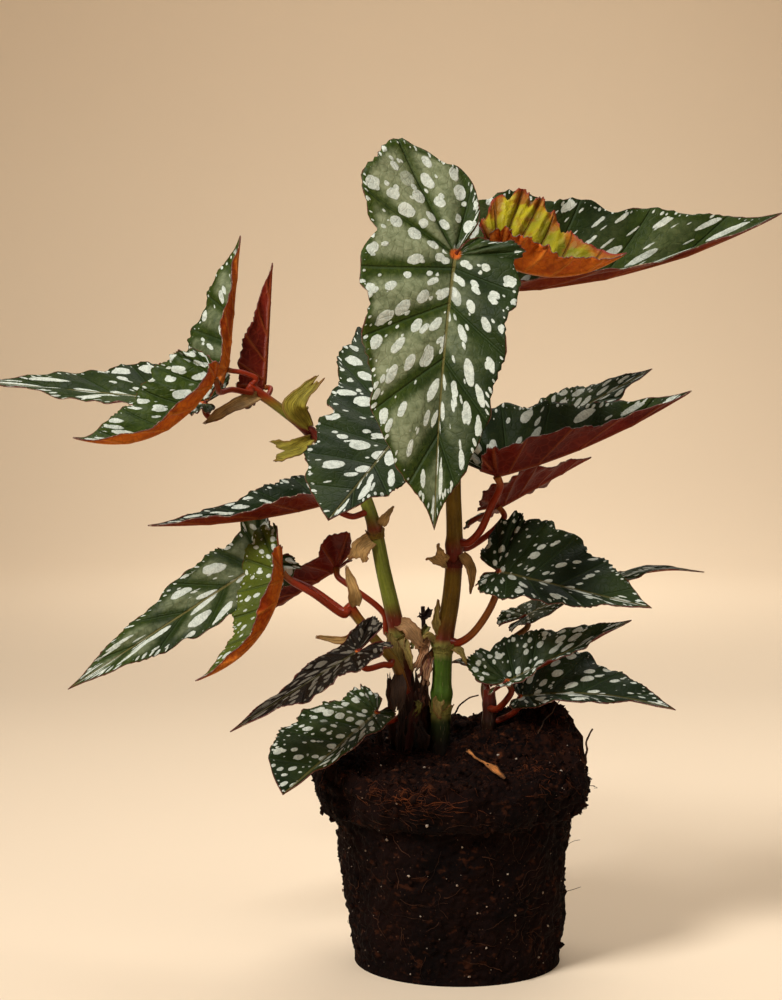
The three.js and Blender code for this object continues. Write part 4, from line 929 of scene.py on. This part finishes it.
def scale_sheet(spine, half, cup, seed, shape, notch=0.0, ragged=0.12):
    """Cupped papery sheet along a curve. shape gives its widths from foot to end as shares of the
    half width; its edges lean to the front near the foot, it ripples across and its end is torn, with
    a notch in the middle. Returns points and faces of a closed sheet, and each point's share along it
    and its place across, from -1 to 1."""
    t = np.linspace(0, 1, SHEET_STEPS + 1)[:, None]
    s = np.linspace(-1, 1, SHEET_ACROSS + 1)
    centre = spline(spine, t[:, 0] * (len(spine) - 1))
    tangent = unit(np.gradient(centre, axis=0))
    outward = unit(FACING - (tangent @ FACING)[:, None] * tangent)
    side = np.cross(tangent, outward)
    width = half * spline(np.array(shape)[:, None], t[:, 0] * (len(shape) - 1)) + 0.15
    width = width * (1 + ragged * np.sin(17 * t + seed) * t + 0.5 * ragged * np.sin(41 * t + 2 * seed) * t)
    rise = cup * s**2 * (1 - t) + 0.35 * np.sin(9 * s + 5 * t + seed) * t
    tear = notch * (1 - np.abs(s)) ** 1.5 + 0.05 * np.sin(23 * s + seed)
    tear = tear * np.linalg.norm(centre[-1] - centre[0])
    top = centre[:, None] + side[:, None] * (width * s)[..., None] + outward[:, None] * rise[..., None]
    top = (top - tangent[:, None] * (tear * t**3)[..., None]).reshape(-1, 3)
    line = SHEET_ACROSS + 1
    i, j = cells(SHEET_STEPS, SHEET_ACROSS)
    a = i * line + j
    upper = split(a, a + line, a + line + 1, a + 1)
    count = len(top)
    bottom = top - corner_normals(top, upper) * SHEET_THICKNESS
    row, column = np.arange(SHEET_STEPS + 1) * line, np.arange(line)
    loop = np.concatenate([row, row[-1] + column[1:], row[::-1][1:] + SHEET_ACROSS, column[::-1][1:-1]])
    ahead = np.roll(loop, -1)
    faces = np.concatenate([upper, upper[:, ::-1] + count, split(ahead, loop, loop + count, ahead + count)])
    share, across = (np.tile(grid.ravel(), 2) for grid in np.broadcast_arrays(t, s))
    return np.vstack([top, bottom]), faces, share, across


def paper_material(name, tip):
    """Papery scale: its own colour in fine veins along it, brown and dry at the tip and edges."""
    made, wire, shader = new_material(name, 0.6, 0.15)
    share, across = wire.value("share"), wire.value("across")
    fibre = wire.noise(9.0, 3.0, wire.vector(across * 1.6, share * 0.35))
    blotch = wire.noise(160.0, 3.0)
    base = wire.scaled(wire.value("tint", 0), (fibre + (blotch - 0.5) * 0.6).step(0.35, 0.65) * 0.75 + 0.5)
    base = wire.color((share + (blotch - 0.5) * 0.6).step(0.8, 1.05) * 0.8, base, tip)
    base = wire.color((abs(across) + (blotch - 0.5) * 0.5).step(0.75, 1.05) * 0.75, base, tip)
    feed(wire, shader, base, 0.5 + blotch * 0.2, fibre + blotch * 0.4, 0.0003)
    return made


stipule_look = paper_material("papery_scale", (0.16, 0.06, 0.02))
scrap_look = paper_material("dry_scrap_skin", (0.03, 0.015, 0.009))


def scale_piece(name, sheets, tints, material, slot, replaced=()):
    """One mesh object from several papery sheets, each with its own colour."""
    points, faces, share, across = joined(sheets)
    piece(name, points, faces, [material], slot, replaced, floats={"share": share, "across": across},
          tint=np.repeat(tints, [len(sheet[0]) for sheet in sheets], axis=0))


def collar(cane, height, tall, flare, seed):
    """Torn skirt round a cane: it climbs close to the skin and flares out, highest on two opposite
    sides, its lip ragged. A closed band as thick as a sheet. Returns what scale_sheet returns."""
    middle, tangent, radius = cane_at(cane, height)
    first = unit(np.cross(tangent, (0, 1, 0)))
    second = np.cross(tangent, first)
    turn = np.linspace(0, 2 * np.pi, 48, endpoint=False)
    climb = 0.5 + 0.5 * np.abs(np.cos(turn + 0.4)) ** 3
    climb = tall * (climb + 0.1 * np.sin(7 * turn + seed) + 0.06 * np.sin(17 * turn))
    t = np.linspace(0, 1, 9)[:, None]
    inner = radius - 0.05 + flare * t**2 * (1 + 0.3 * np.sin(3 * turn + seed))
    spread = first * np.cos(turn)[:, None] + second * np.sin(turn)[:, None]
    outer_skin, inner_skin = (middle + spread * out[..., None] + tangent * (t * climb)[..., None]
                              for out in (inner + SHEET_THICKNESS, inner))
    skin = np.concatenate([outer_skin, inner_skin[::-1]])
    rows, n, _ = skin.shape
    i, j = cells(rows, n)
    a, b = i * n + j, i * n + (j + 1) % n
    up = ((i + 1) % rows - i) * n
    share = np.repeat(np.concatenate([t, t[::-1]])[:, 0], n)
    return skin.reshape(-1, 3), split(a, b, b + up, a + up), share, np.tile(np.sin(5 * turn) * 0.6, rows)


for number, (name, scale) in enumerate(SCALES.items()):
    foot = seat(*scale["stem"], np.array(scale["spine"][0], float))[1]
    sheet = scale_sheet([foot, *scale["spine"]], scale["half"], scale["cup"], number, scale["shape"],
                        scale.get("notch", 0))
    if name == "dry_leaf":
        scale_piece(name + "_sheet", [sheet], [(0.05, 0.026, 0.014)], scrap_look, "dry_scrap", [name])
    else:
        tint = (0.29, 0.24, 0.03) if "high" in name else (0.36, 0.21, 0.07)
        scale_piece(name + "_sheet", [sheet], [tint], stipule_look, "stipule", [name])

sheets, tints = [], []
for number, (name, height, spine, half, cup, shape) in enumerate(SHEATHS):
    foot = seat(name, height, np.array(spine[0], float))[0]
    sheets.append(scale_sheet([foot, *spine], half, cup, 3.1 * number, shape, 0, 0.25))
    tints.append((0.26, 0.19, 0.05) if shape is POINTED else (0.28, 0.15, 0.06))
for number, (name, height, tall, flare, tint) in enumerate(COLLARS):
    sheets.append(collar(name, height, tall, flare, 2.1 * number))
    tints.append(tint)
scale_piece("torn_sheaths", sheets, tints, stipule_look, "stipule")

scraps = [scale_sheet(spine, half, 1.6, 5.3 * number, TORN, 0.2, 0.4)
          for number, (spine, half, _) in enumerate(SCRAPS)]
scale_piece("dry_remains", scraps, [tint for _, _, tint in SCRAPS], scrap_look, "dry_scrap")

# Root ball
# Dark peat bound by roots, which has kept the tapered shape and the rim band of its nursery pot. The top
# is mounded at the back and right. Its skin is broken and crumbly, with white grit and fine roots in it.
BALL_HEIGHT = 87
BALL_LEAN = -0.035

# Radius and height up the wall, then the place, reach and height of each hill of the soil
BALL_PROFILE = [(45, 0), (45.6, 7), (47.2, 22), (49, 38), (50.6, 54), (51.5, 66), (57.5, 68.5), (59.5, 75),
                (59.5, 82)]
HILLS = [(29, 14, 18, 13), (-45, -2, 14, 5), (45, 4, 10, 12)]
RING_POINTS = 360
rng = np.random.default_rng(61)
grain_table = rng.random((32, 32, 32))


def lumps(points, size, shift=0.0):
    """Smooth random number from 0 to 1 at each point: numbers on a grid of that size in millimetres,
    eased between the eight corners round the point."""
    place = points / size + 50 + shift
    cell = np.floor(place).astype(int)
    f = smooth(place - cell)
    total = 0
    for corner in np.ndindex(2, 2, 2):
        weight = np.prod(np.where(corner, f, 1 - f), axis=-1)
        x, y, z = np.moveaxis((cell + np.array(corner)) % 32, -1, 0)
        total = total + weight * grain_table[x, y, z]
    return total


def soil_height(x, y):
    """Height of the soil: a level, a slope up to the back, two round hills and gentle lumps."""
    hills = sum(height * np.exp(-((x - cx) ** 2 + (y - cy) ** 2) / (2 * reach**2))
                for cx, cy, reach, height in HILLS)
    slope = 10 * smooth((y + 60) / 120)
    ripples = 0.9 * np.sin(x / 5.1 + 1) * np.cos(y / 4.3) + 0.7 * np.sin((x + y) / 3.4)
    return BALL_HEIGHT + slope + hills + ripples


def ball_surface(share, turn):
    """Point of the smooth ball: share 0 to 1 climbs the pot profile, 1 to 2 runs in over the soil."""
    run = run_along(BALL_PROFILE)
    climb = np.clip(share, 0, 1) * run[-1]
    radius = np.interp(climb, run, [p[0] for p in BALL_PROFILE])
    level = np.interp(climb, run, [p[1] for p in BALL_PROFILE])
    inward = np.clip(share - 1, 0, 1)
    waves = 0.7 * np.sin(5 * turn + 0.12 * level) + 0.5 * np.sin(11 * turn - 0.16 * level)
    radius = (radius + waves * np.clip(level / 6, 0, 1)) * (1 - inward)
    x, y = radius * np.cos(turn), radius * np.sin(turn)
    brim = smooth(inward / 0.05)
    z = level * (1 - brim) + soil_height(x, y) * brim
    return np.stack([x + BALL_LEAN * z, y, z], -1)


shares = np.concatenate([np.linspace(0, 1, 104), 1 + np.linspace(0, 1, 66)[1:-1] ** 1.1])
turns = np.linspace(0, 2 * np.pi, RING_POINTS, endpoint=False)
share_grid, turn_grid = np.meshgrid(shares, turns, indexing="ij")
points = np.vstack([ball_surface(share_grid, turn_grid).reshape(-1, 3), [[0, 0, 0]],
                    ball_surface(np.array([2.0]), np.array([0.0]))])
faces = ring_faces(len(shares), RING_POINTS)
skin_normals = corner_normals(points, faces)

# Clods of three sizes, coarser on the rim and the soil, with a worn upper edge and a firm foot
share = np.append(share_grid, [0, 2])
upper_share = smooth((share - 0.7) / 0.25)
soil_share = smooth((share - 0.95) / 0.1)
rough = (1.2 + 3.0 * upper_share) * (lumps(points, 6.5) - 0.5)
rough = rough + (1.6 + 2.0 * soil_share) * (lumps(points, 2.9, 9.3) - 0.5)
rough = rough + 1.5 * (lumps(points, 1.3, 4.1) - 0.5)
rough = rough + np.exp(-((share - 0.79) / 0.05) ** 2) * (lumps(points, 9.0, 3.0) - 0.35) * 3
hold = np.clip(share / 0.03, 0, 1)
points = points + skin_normals * (rough * hold - 0.6 * hold)[:, None]
points[:, 2] = np.maximum(points[:, 2], 0)


def peat_material():
    """Peat: nearly black brown in soft patches, with rusty fibre and pale dust in its grain."""
    made, wire, shader = new_material("peat_skin", 0.92, 0.06)
    patch = wire.noise(45.0, 3.0)
    crumb = wire.noise(420.0, 4.0)
    place = wire.position()
    speck = wire.node("TexVoronoi", {}, {"Vector": place, "Scale": 330.0})
    level = wire.parts(place)[2].step(0.08, 0.1)
    stretched = wire.node("VectorMath", {"operation": "MULTIPLY"}, {0: place, 1: (1.0, 1.0, 1.5)})
    fibre = wire.noise(210.0, 5.0, stretched)
    soft = (patch + crumb * 0.6 - 0.3).step(0.2, 0.75)
    base = wire.color(soft, (0.0014, 0.0006, 0.0005), (0.0065, 0.0022, 0.0014))
    base = wire.color(level * (crumb + patch * 0.4).step(0.55, 0.85) * 0.8, base, (0.019, 0.0052, 0.002))
    base = wire.color(fibre.step(0.57, 0.7) * (level * 0.4 + 0.25), base, (0.085, 0.024, 0.008))
    base = wire.color(speck.step(0.13, 0.05) * patch.step(0.3, 0.6) * 0.6, base, (0.12, 0.06, 0.035))
    feed(wire, shader, base, 0.8 + crumb * 0.18, crumb + speck * 0.4, 0.0012)
    return made


def plain_grain_material(name, low, high, roughness):
    """Rough grain of one kind: two colours in patches a little larger than a grain, with a fine pitted
    relief."""
    made, wire, shader = new_material(name, roughness, 0.06)
    patch = wire.noise(260.0, 2.0)
    pit = wire.noise(1800.0, 2.0)
    base = wire.color((patch + pit * 0.4 - 0.2).step(0.3, 0.7), low, high)
    feed(wire, shader, base, roughness - 0.1 + pit * 0.2, pit)
    return made


piece("root_ball_peat", points, faces, [peat_material()], "peat", ["root_ball"])

# Crumbs and grit
# Loose crumbs of peat that cling to the ball and break its outline, and white grit as found in potting
# mixes, pressed half into the skin.
BOX_CORNERS = np.array([(x, y, z) for x in (-1, 1) for y in (-1, 1) for z in (-1, 1)] +
                       [(1.5, 0, 0), (-1.5, 0, 0), (0, 1.5, 0), (0, -1.5, 0), (0, 0, 1.5), (0, 0, -1.5)], float)
BOX_SIDES = [(8, 4, 6, 7, 5), (9, 0, 1, 3, 2), (10, 2, 3, 7, 6), (11, 0, 4, 5, 1), (12, 1, 5, 7, 3),
             (13, 0, 2, 6, 4)]
BOX_FACES = np.array([(middle, ring[k], ring[(k + 1) % 4]) for middle, *ring in BOX_SIDES for k in range(4)])


def grains(centres, sizes):
    """Small lumps of 24 faces: a cube's corners and raised face middles, each pushed in or out at
    random, stretched and set at each centre."""
    count = len(centres)
    corners = BOX_CORNERS[None] * rng.uniform(0.6, 1.25, (count, len(BOX_CORNERS), 1))
    corners = corners * rng.uniform(0.6, 1.2, (count, 1, 3))
    turn = unit(rng.normal(size=(count, 3, 3)))
    axis_a = turn[:, 0]
    axis_b = unit(np.cross(axis_a, turn[:, 1]))
    axes = np.stack([axis_a, axis_b, np.cross(axis_a, axis_b)], 1)
    placed = np.einsum("nci,nij->ncj", corners, axes) * (sizes * 0.6)[:, None, None] + centres[:, None]
    tops = BOX_FACES[None] + len(BOX_CORNERS) * np.arange(count)[:, None, None]
    return placed.reshape(-1, 3), tops.reshape(-1, 3)


def on_skin(count, low, high):
    """Random points of the ball's skin between two shares, with their outward directions."""
    rows_used = np.flatnonzero((shares > low) & (shares < high))
    pick = rng.choice(rows_used, count) * RING_POINTS + rng.integers(0, RING_POINTS, count)
    return points[pick], skin_normals[pick]


def skin_spots(bands, least, more, power):
    """Random places in several bands of the skin, their outward directions, and a size for each: the
    least size plus more times a random number to a power."""
    place, outward = (np.vstack(column) for column in zip(*(on_skin(*band) for band in bands)))
    return place, outward, least + more * rng.random(len(place)) ** power


crumb_bands = (300, 0.02, 0.75), (300, 0.75, 1.02), (900, 1.0, 1.45), (200, 1.45, 1.85)
place, outward, sizes = skin_spots(crumb_bands, 0.5, 1.4, 3.5)
keep = place[:, 2] > 2
centres = place + outward * (sizes * rng.uniform(-0.2, 0.45, len(place)))[:, None]
crumb = plain_grain_material("peat_crumb", (0.0018, 0.0008, 0.0006), (0.018, 0.006, 0.003), 0.92)
piece("peat_crumbs", *grains(centres[keep], sizes[keep]), [crumb], "peat")

place, outward, sizes = skin_spots(((85, 0.03, 0.75), (24, 0.75, 1.05), (60, 1.05, 1.6)), 0.22, 0.6, 3)
grit = plain_grain_material("white_grit", (0.14, 0.08, 0.045), (0.46, 0.38, 0.3), 0.85)
piece("white_grit", *grains(place + outward * (sizes * 0.3)[:, None], sizes), [grit], "peat")

# Roots and fibres
# Fine brown roots wander over the ball and hang free in places. Short tufts of fibrous peat stand up on
# its rim and soil. Rusty coir fibres lie in two tangles at the front of the rim, a few all round.
STRAND_STEPS, STRAND_SIDES = 15, 5
WALL_LENGTH, WALL_RADIUS = 105, 50


def skin_place(share, turn):
    """Point of the crumbly skin at any share and turn, between its four nearest points."""
    row = np.interp(share, shares, np.arange(len(shares)))
    column = (turn / (2 * np.pi) * RING_POINTS) % RING_POINTS
    i, k = np.minimum(np.floor(row).astype(int), len(shares) - 2), np.floor(column).astype(int)
    f, g = (row - i)[..., None], (column - k)[..., None]
    grid = points[:-2].reshape(-1, RING_POINTS, 3)
    near, far = k % RING_POINTS, (k + 1) % RING_POINTS
    lower, upper = (grid[level, near] * (1 - g) + grid[level, far] * g for level in (i, i + 1))
    return lower * (1 - f) + upper * f


def hair_strands(starts, run, heading, thick, loose, wander=0.28):
    """Thin tubes that wander over the skin. Each starts at a share and turn, keeps its heading with a
    slow random swing, and lifts off the skin by a wavering height."""
    strands = []
    for (share, turn), length, way, radius in zip(starts, run, heading, thick):
        swing = way + np.cumsum(rng.normal(0, wander, STRAND_STEPS))
        step = length / STRAND_STEPS
        share_path = share + np.cumsum(np.sin(swing)) * step / WALL_LENGTH
        turn_path = turn + np.cumsum(np.cos(swing)) * step / WALL_RADIUS
        path = skin_place(np.clip(share_path, 0.02, 1.95), turn_path)
        away = unit(path * (1, 1, 0) + (0, 0, 30) * np.clip(share_path - 0.95, 0, 1)[:, None])
        lift = 0.15 + loose * np.abs(np.cumsum(rng.normal(0, 0.25, STRAND_STEPS)))
        path = path + away * lift[:, None]
        path[:, 2] = np.maximum(path[:, 2], 0.6)
        fade = radius * (1 - 0.6 * np.linspace(0, 1, STRAND_STEPS))
        strands.append(tube(path, fade, STRAND_SIDES)[:2])
    return joined(strands)


def fibre_material(name, low, high):
    """Root or fibre: colour wanders along it, with a fine dull grain."""
    made, wire, shader = new_material(name, 0.75, 0.1)
    patch = wire.noise(120.0, 2.0)
    grain = wire.noise(2500.0, 1.0)
    feed(wire, shader, wire.color(patch.step(0.35, 0.65), low, high), 0.65 + grain * 0.2, grain, 0.0001)
    return made


count = 150
starts = np.stack([rng.uniform(0.04, 0.95, count), rng.uniform(0, 2 * np.pi, count)], -1)
roots = hair_strands(starts, rng.uniform(8, 26, count), rng.uniform(0, 2 * np.pi, count),
                     rng.uniform(0.07, 0.16, count), 0.45)
root_look = fibre_material("fine_root", (0.008, 0.0026, 0.0013), (0.062, 0.023, 0.0105))
piece("fine_roots", *roots, [root_look], "peat")

count = 260
starts = np.stack([rng.uniform(0.8, 1.75, count), rng.normal(np.radians(10), 1.1, count)], -1)
tufts = hair_strands(starts, rng.uniform(1.5, 6, count), rng.uniform(0, 2 * np.pi, count),
                     rng.uniform(0.1, 0.3, count), 1.6)
tuft_look = fibre_material("peat_tuft", (0.005, 0.0016, 0.001), (0.04, 0.011, 0.0035))
piece("peat_tufts", *tufts, [tuft_look], "peat")

front = np.stack([rng.normal(1.02, 0.06, 150), rng.normal(np.radians(-111), 0.2, 150)], -1)
corner = np.stack([rng.normal(1.2, 0.11, 75), rng.normal(np.radians(-48), 0.24, 75)], -1)
spread = np.stack([rng.uniform(0.95, 1.8, 75), rng.uniform(0, 2 * np.pi, 75)], -1)
starts = np.concatenate([front, corner, spread])
count = len(starts)
coir = hair_strands(starts, rng.uniform(3, 10, count), rng.normal(0, 0.9, count),
                    rng.uniform(0.05, 0.12, count), 0.4, 0.16)
coir_look = fibre_material("coir_fibre", (0.02, 0.005, 0.002), (0.15, 0.038, 0.01))
piece("coir_fibres", *coir, [coir_look], "peat")

# Twigs and the flake on the soil
# Three wiry dead twigs stand by the stems and at the rim, two root hairs stick out of the wall and two
# hang from the rim. A narrow orange strip of an old leaf lies rolled up in front of the stems.
TWIG_STEPS, TWIG_SIDES = 30, 7

# Path and the radius at both ends
TWIGS = [
    ([(-3, -2, 104), (-1, -6, 110), (4, -8, 116), (9, -8, 117.5)], 0.45, 0.3),
    ([(33, -8, 96), (37, -9, 106), (41, -9, 111), (44, -9, 116)], 0.3, 0.2),
    ([(54, -2, 78), (56, -3, 90), (56.5, -3, 98), (59, -3, 102)], 0.6, 0.35),
    ([(45, -12, 32), (50, -13, 33.5), (53, -13, 34.6)], 0.14, 0.1),
    ([(46, -10, 52), (50, -10, 54), (53, -10, 54.6)], 0.12, 0.09),
    ([(52, -8, 74), (53.5, -9, 70), (54, -9, 66)], 0.3, 0.1),
    ([(50, -13, 75), (51, -14, 71), (52.5, -14, 67.5)], 0.25, 0.1),
]
FLAKE = [(4, -11), (10, -28), (18, -49)]
FLAKE_LIFT = 2.6
FLAKE_HALF, FLAKE_ROLL, FLAKE_SEED = 2.0, 1.4, 2.0

twigs = []
for path, first, last in TWIGS:
    line = route(path, TWIG_STEPS)
    wobble = 0.25 * np.stack([np.sin(line[:, 2] * 1.1), np.cos(line[:, 2] * 0.9), 0 * line[:, 2]], -1)
    radius = np.linspace(first, last, TWIG_STEPS) * (1 + 0.25 * np.sin(np.arange(TWIG_STEPS) * 1.3) ** 6)
    twigs.append(tube(line + wobble, radius, TWIG_SIDES)[:2])
piece("dry_twigs", *joined(twigs), [fibre_material("dry_twig", (0.018, 0.011, 0.008), (0.07, 0.035, 0.018))],
      "dry_scrap")


def rolled_strip(spine, half, roll, seed):
    """Strip along a curve, rolled about it: across it runs an arc whose radius is its half width over
    the roll angle, narrow at both ends. Returns what scale_sheet returns."""
    made, strip_faces, share, across = scale_sheet(spine, half, 0, seed, TORN, 0, 0.3)
    centre = spline(spine, share * (len(spine) - 1))
    steps = np.linspace(0, len(spine) - 1, SHEET_STEPS + 1)
    tangent = unit(np.gradient(spline(spine, steps), axis=0))[np.round(share * SHEET_STEPS).astype(int)]
    outward = unit(FACING - (tangent @ FACING)[:, None] * tangent)
    side = np.cross(tangent, outward)
    width = half * (0.25 + 1.5 * share * (1 - share) ** 0.7 + 0.5 * np.exp(-((share - 0.3) / 0.12) ** 2))
    width = width * (1 + 0.25 * np.sin(19 * share) + 0.15 * np.sin(43 * share))
    angle = across * roll * (0.7 + 0.5 * np.sin(7 * share + seed)) + 0.5 * np.sin(5 * share)
    below = SHEET_THICKNESS * (np.arange(len(made)) >= len(made) // 2)
    shell = width / roll + below
    sunk = (np.cos(angle) - 1) * shell * 0.9 + below
    placed = centre + side * (np.sin(angle) * shell)[:, None] - outward * sunk[:, None]
    return placed, strip_faces, share, across


resting = [(x, y, soil_height(x, y) + FLAKE_LIFT) for x, y in FLAKE]
flake = rolled_strip(resting, FLAKE_HALF, FLAKE_ROLL, FLAKE_SEED)
scale_piece("rolled_flake", [flake], [(0.5, 0.19, 0.05)], scrap_look, "dry_scrap", ["dry_flake"])

# Studio
# A pale round floor that sweeps up into a wall all the way round, a camera at the photograph's
# viewing angle, and broad soft lights above it.
FLOOR_RADIUS = 1.7
SWEEP_RADIUS = 0.9
WALL_TOP = 3.2


def sweep_round():
    """Bowl turned about Z: flat to the floor radius, a quarter circle up, then an upright wall."""
    turn = np.linspace(0, 2 * np.pi, 96, endpoint=False)
    bend = np.linspace(0, np.pi / 2, 17)
    radius = [0.25, 0.8, *(FLOOR_RADIUS + SWEEP_RADIUS * np.sin(bend)), FLOOR_RADIUS + SWEEP_RADIUS]
    height = [0, 0, *(SWEEP_RADIUS * (1 - np.cos(bend))), WALL_TOP]
    rings = [np.stack([reach * np.cos(turn), reach * np.sin(turn), up + 0 * turn], -1)
             for reach, up in zip(radius, height)]
    points = np.vstack([*rings, [[0, 0, 0]]])
    n = len(turn)
    i, k = cells(len(rings) - 1, n)
    after = (k + 1) % n
    quads = np.stack([i * n + k, (i + 1) * n + k, (i + 1) * n + after, i * n + after], -1)
    fan = [(len(points) - 1, k, (k + 1) % n) for k in range(n)]
    return points, [*quads.tolist(), *fan]


floor_points, floor_faces = sweep_round()
floor_mesh = bpy.data.meshes.new("floor")
floor_mesh.from_pydata(floor_points.tolist(), [], floor_faces)
floor_mesh.polygons.foreach_set("use_smooth", np.ones(len(floor_mesh.polygons), bool))
floor = bpy.data.objects.new("floor", floor_mesh)
bpy.context.collection.objects.link(floor)
floor_material, wire, shader = new_material("pale_floor", 0.9)
shade = wire.noise(1.2, 2.0)
feed(wire, shader, wire.color(shade.step(0.3, 0.7), (0.81, 0.655, 0.475), (0.83, 0.675, 0.49)))
floor_mesh.materials.append(floor_material)

view = bpy.data.cameras.new("camera")
view.lens = 79.2
camera = bpy.data.objects.new("camera", view)
camera.location = (-0.029, -0.9507, 0.268)
camera.rotation_euler = (np.radians(86), 0, 0)
bpy.context.collection.objects.link(camera)
bpy.context.scene.camera = camera

for name, place, aim, size, power, spread, tint in (
    ("key", (-0.9, -1.0, 1.3), (0, 0, 0.26), 0.5, 4.1, 60, (1, 1, 1)),
    ("top", (0.2, 0.8, 1.8), (0.05, 0.4, 0.1), 1.2, 5.0, 90, (1, 0.99, 0.96)),
    ("fill", (1.3, -1.1, 0.9), (0, 0, 0.15), 1.2, 1.8, 90, (1, 0.99, 0.97)),
    ("backdrop", (0.06, 1.4, 0.85), (0.06, 2.1, 0.2), 0.5, 7.0, 170, (1, 0.97, 0.92)),
):
    lamp = bpy.data.lights.new(name, "AREA")
    lamp.size, lamp.energy, lamp.spread, lamp.color = size, power, np.radians(spread), tint
    light = bpy.data.objects.new(name, lamp)
    light.location = place
    light.rotation_mode = "QUATERNION"
    light.rotation_quaternion = Vector(np.subtract(place, aim)).to_track_quat("Z", "Y")
    light.visible_camera = False
    bpy.context.collection.objects.link(light)

world = bpy.data.worlds.new("studio")
world.use_nodes = True
background = world.node_tree.nodes["Background"]
background.inputs["Color"].default_value = (1.0, 0.96, 0.9, 1)
background.inputs["Strength"].default_value = 0.26
bpy.context.scene.world = world
bpy.context.scene.view_settings.view_transform = "Standard"
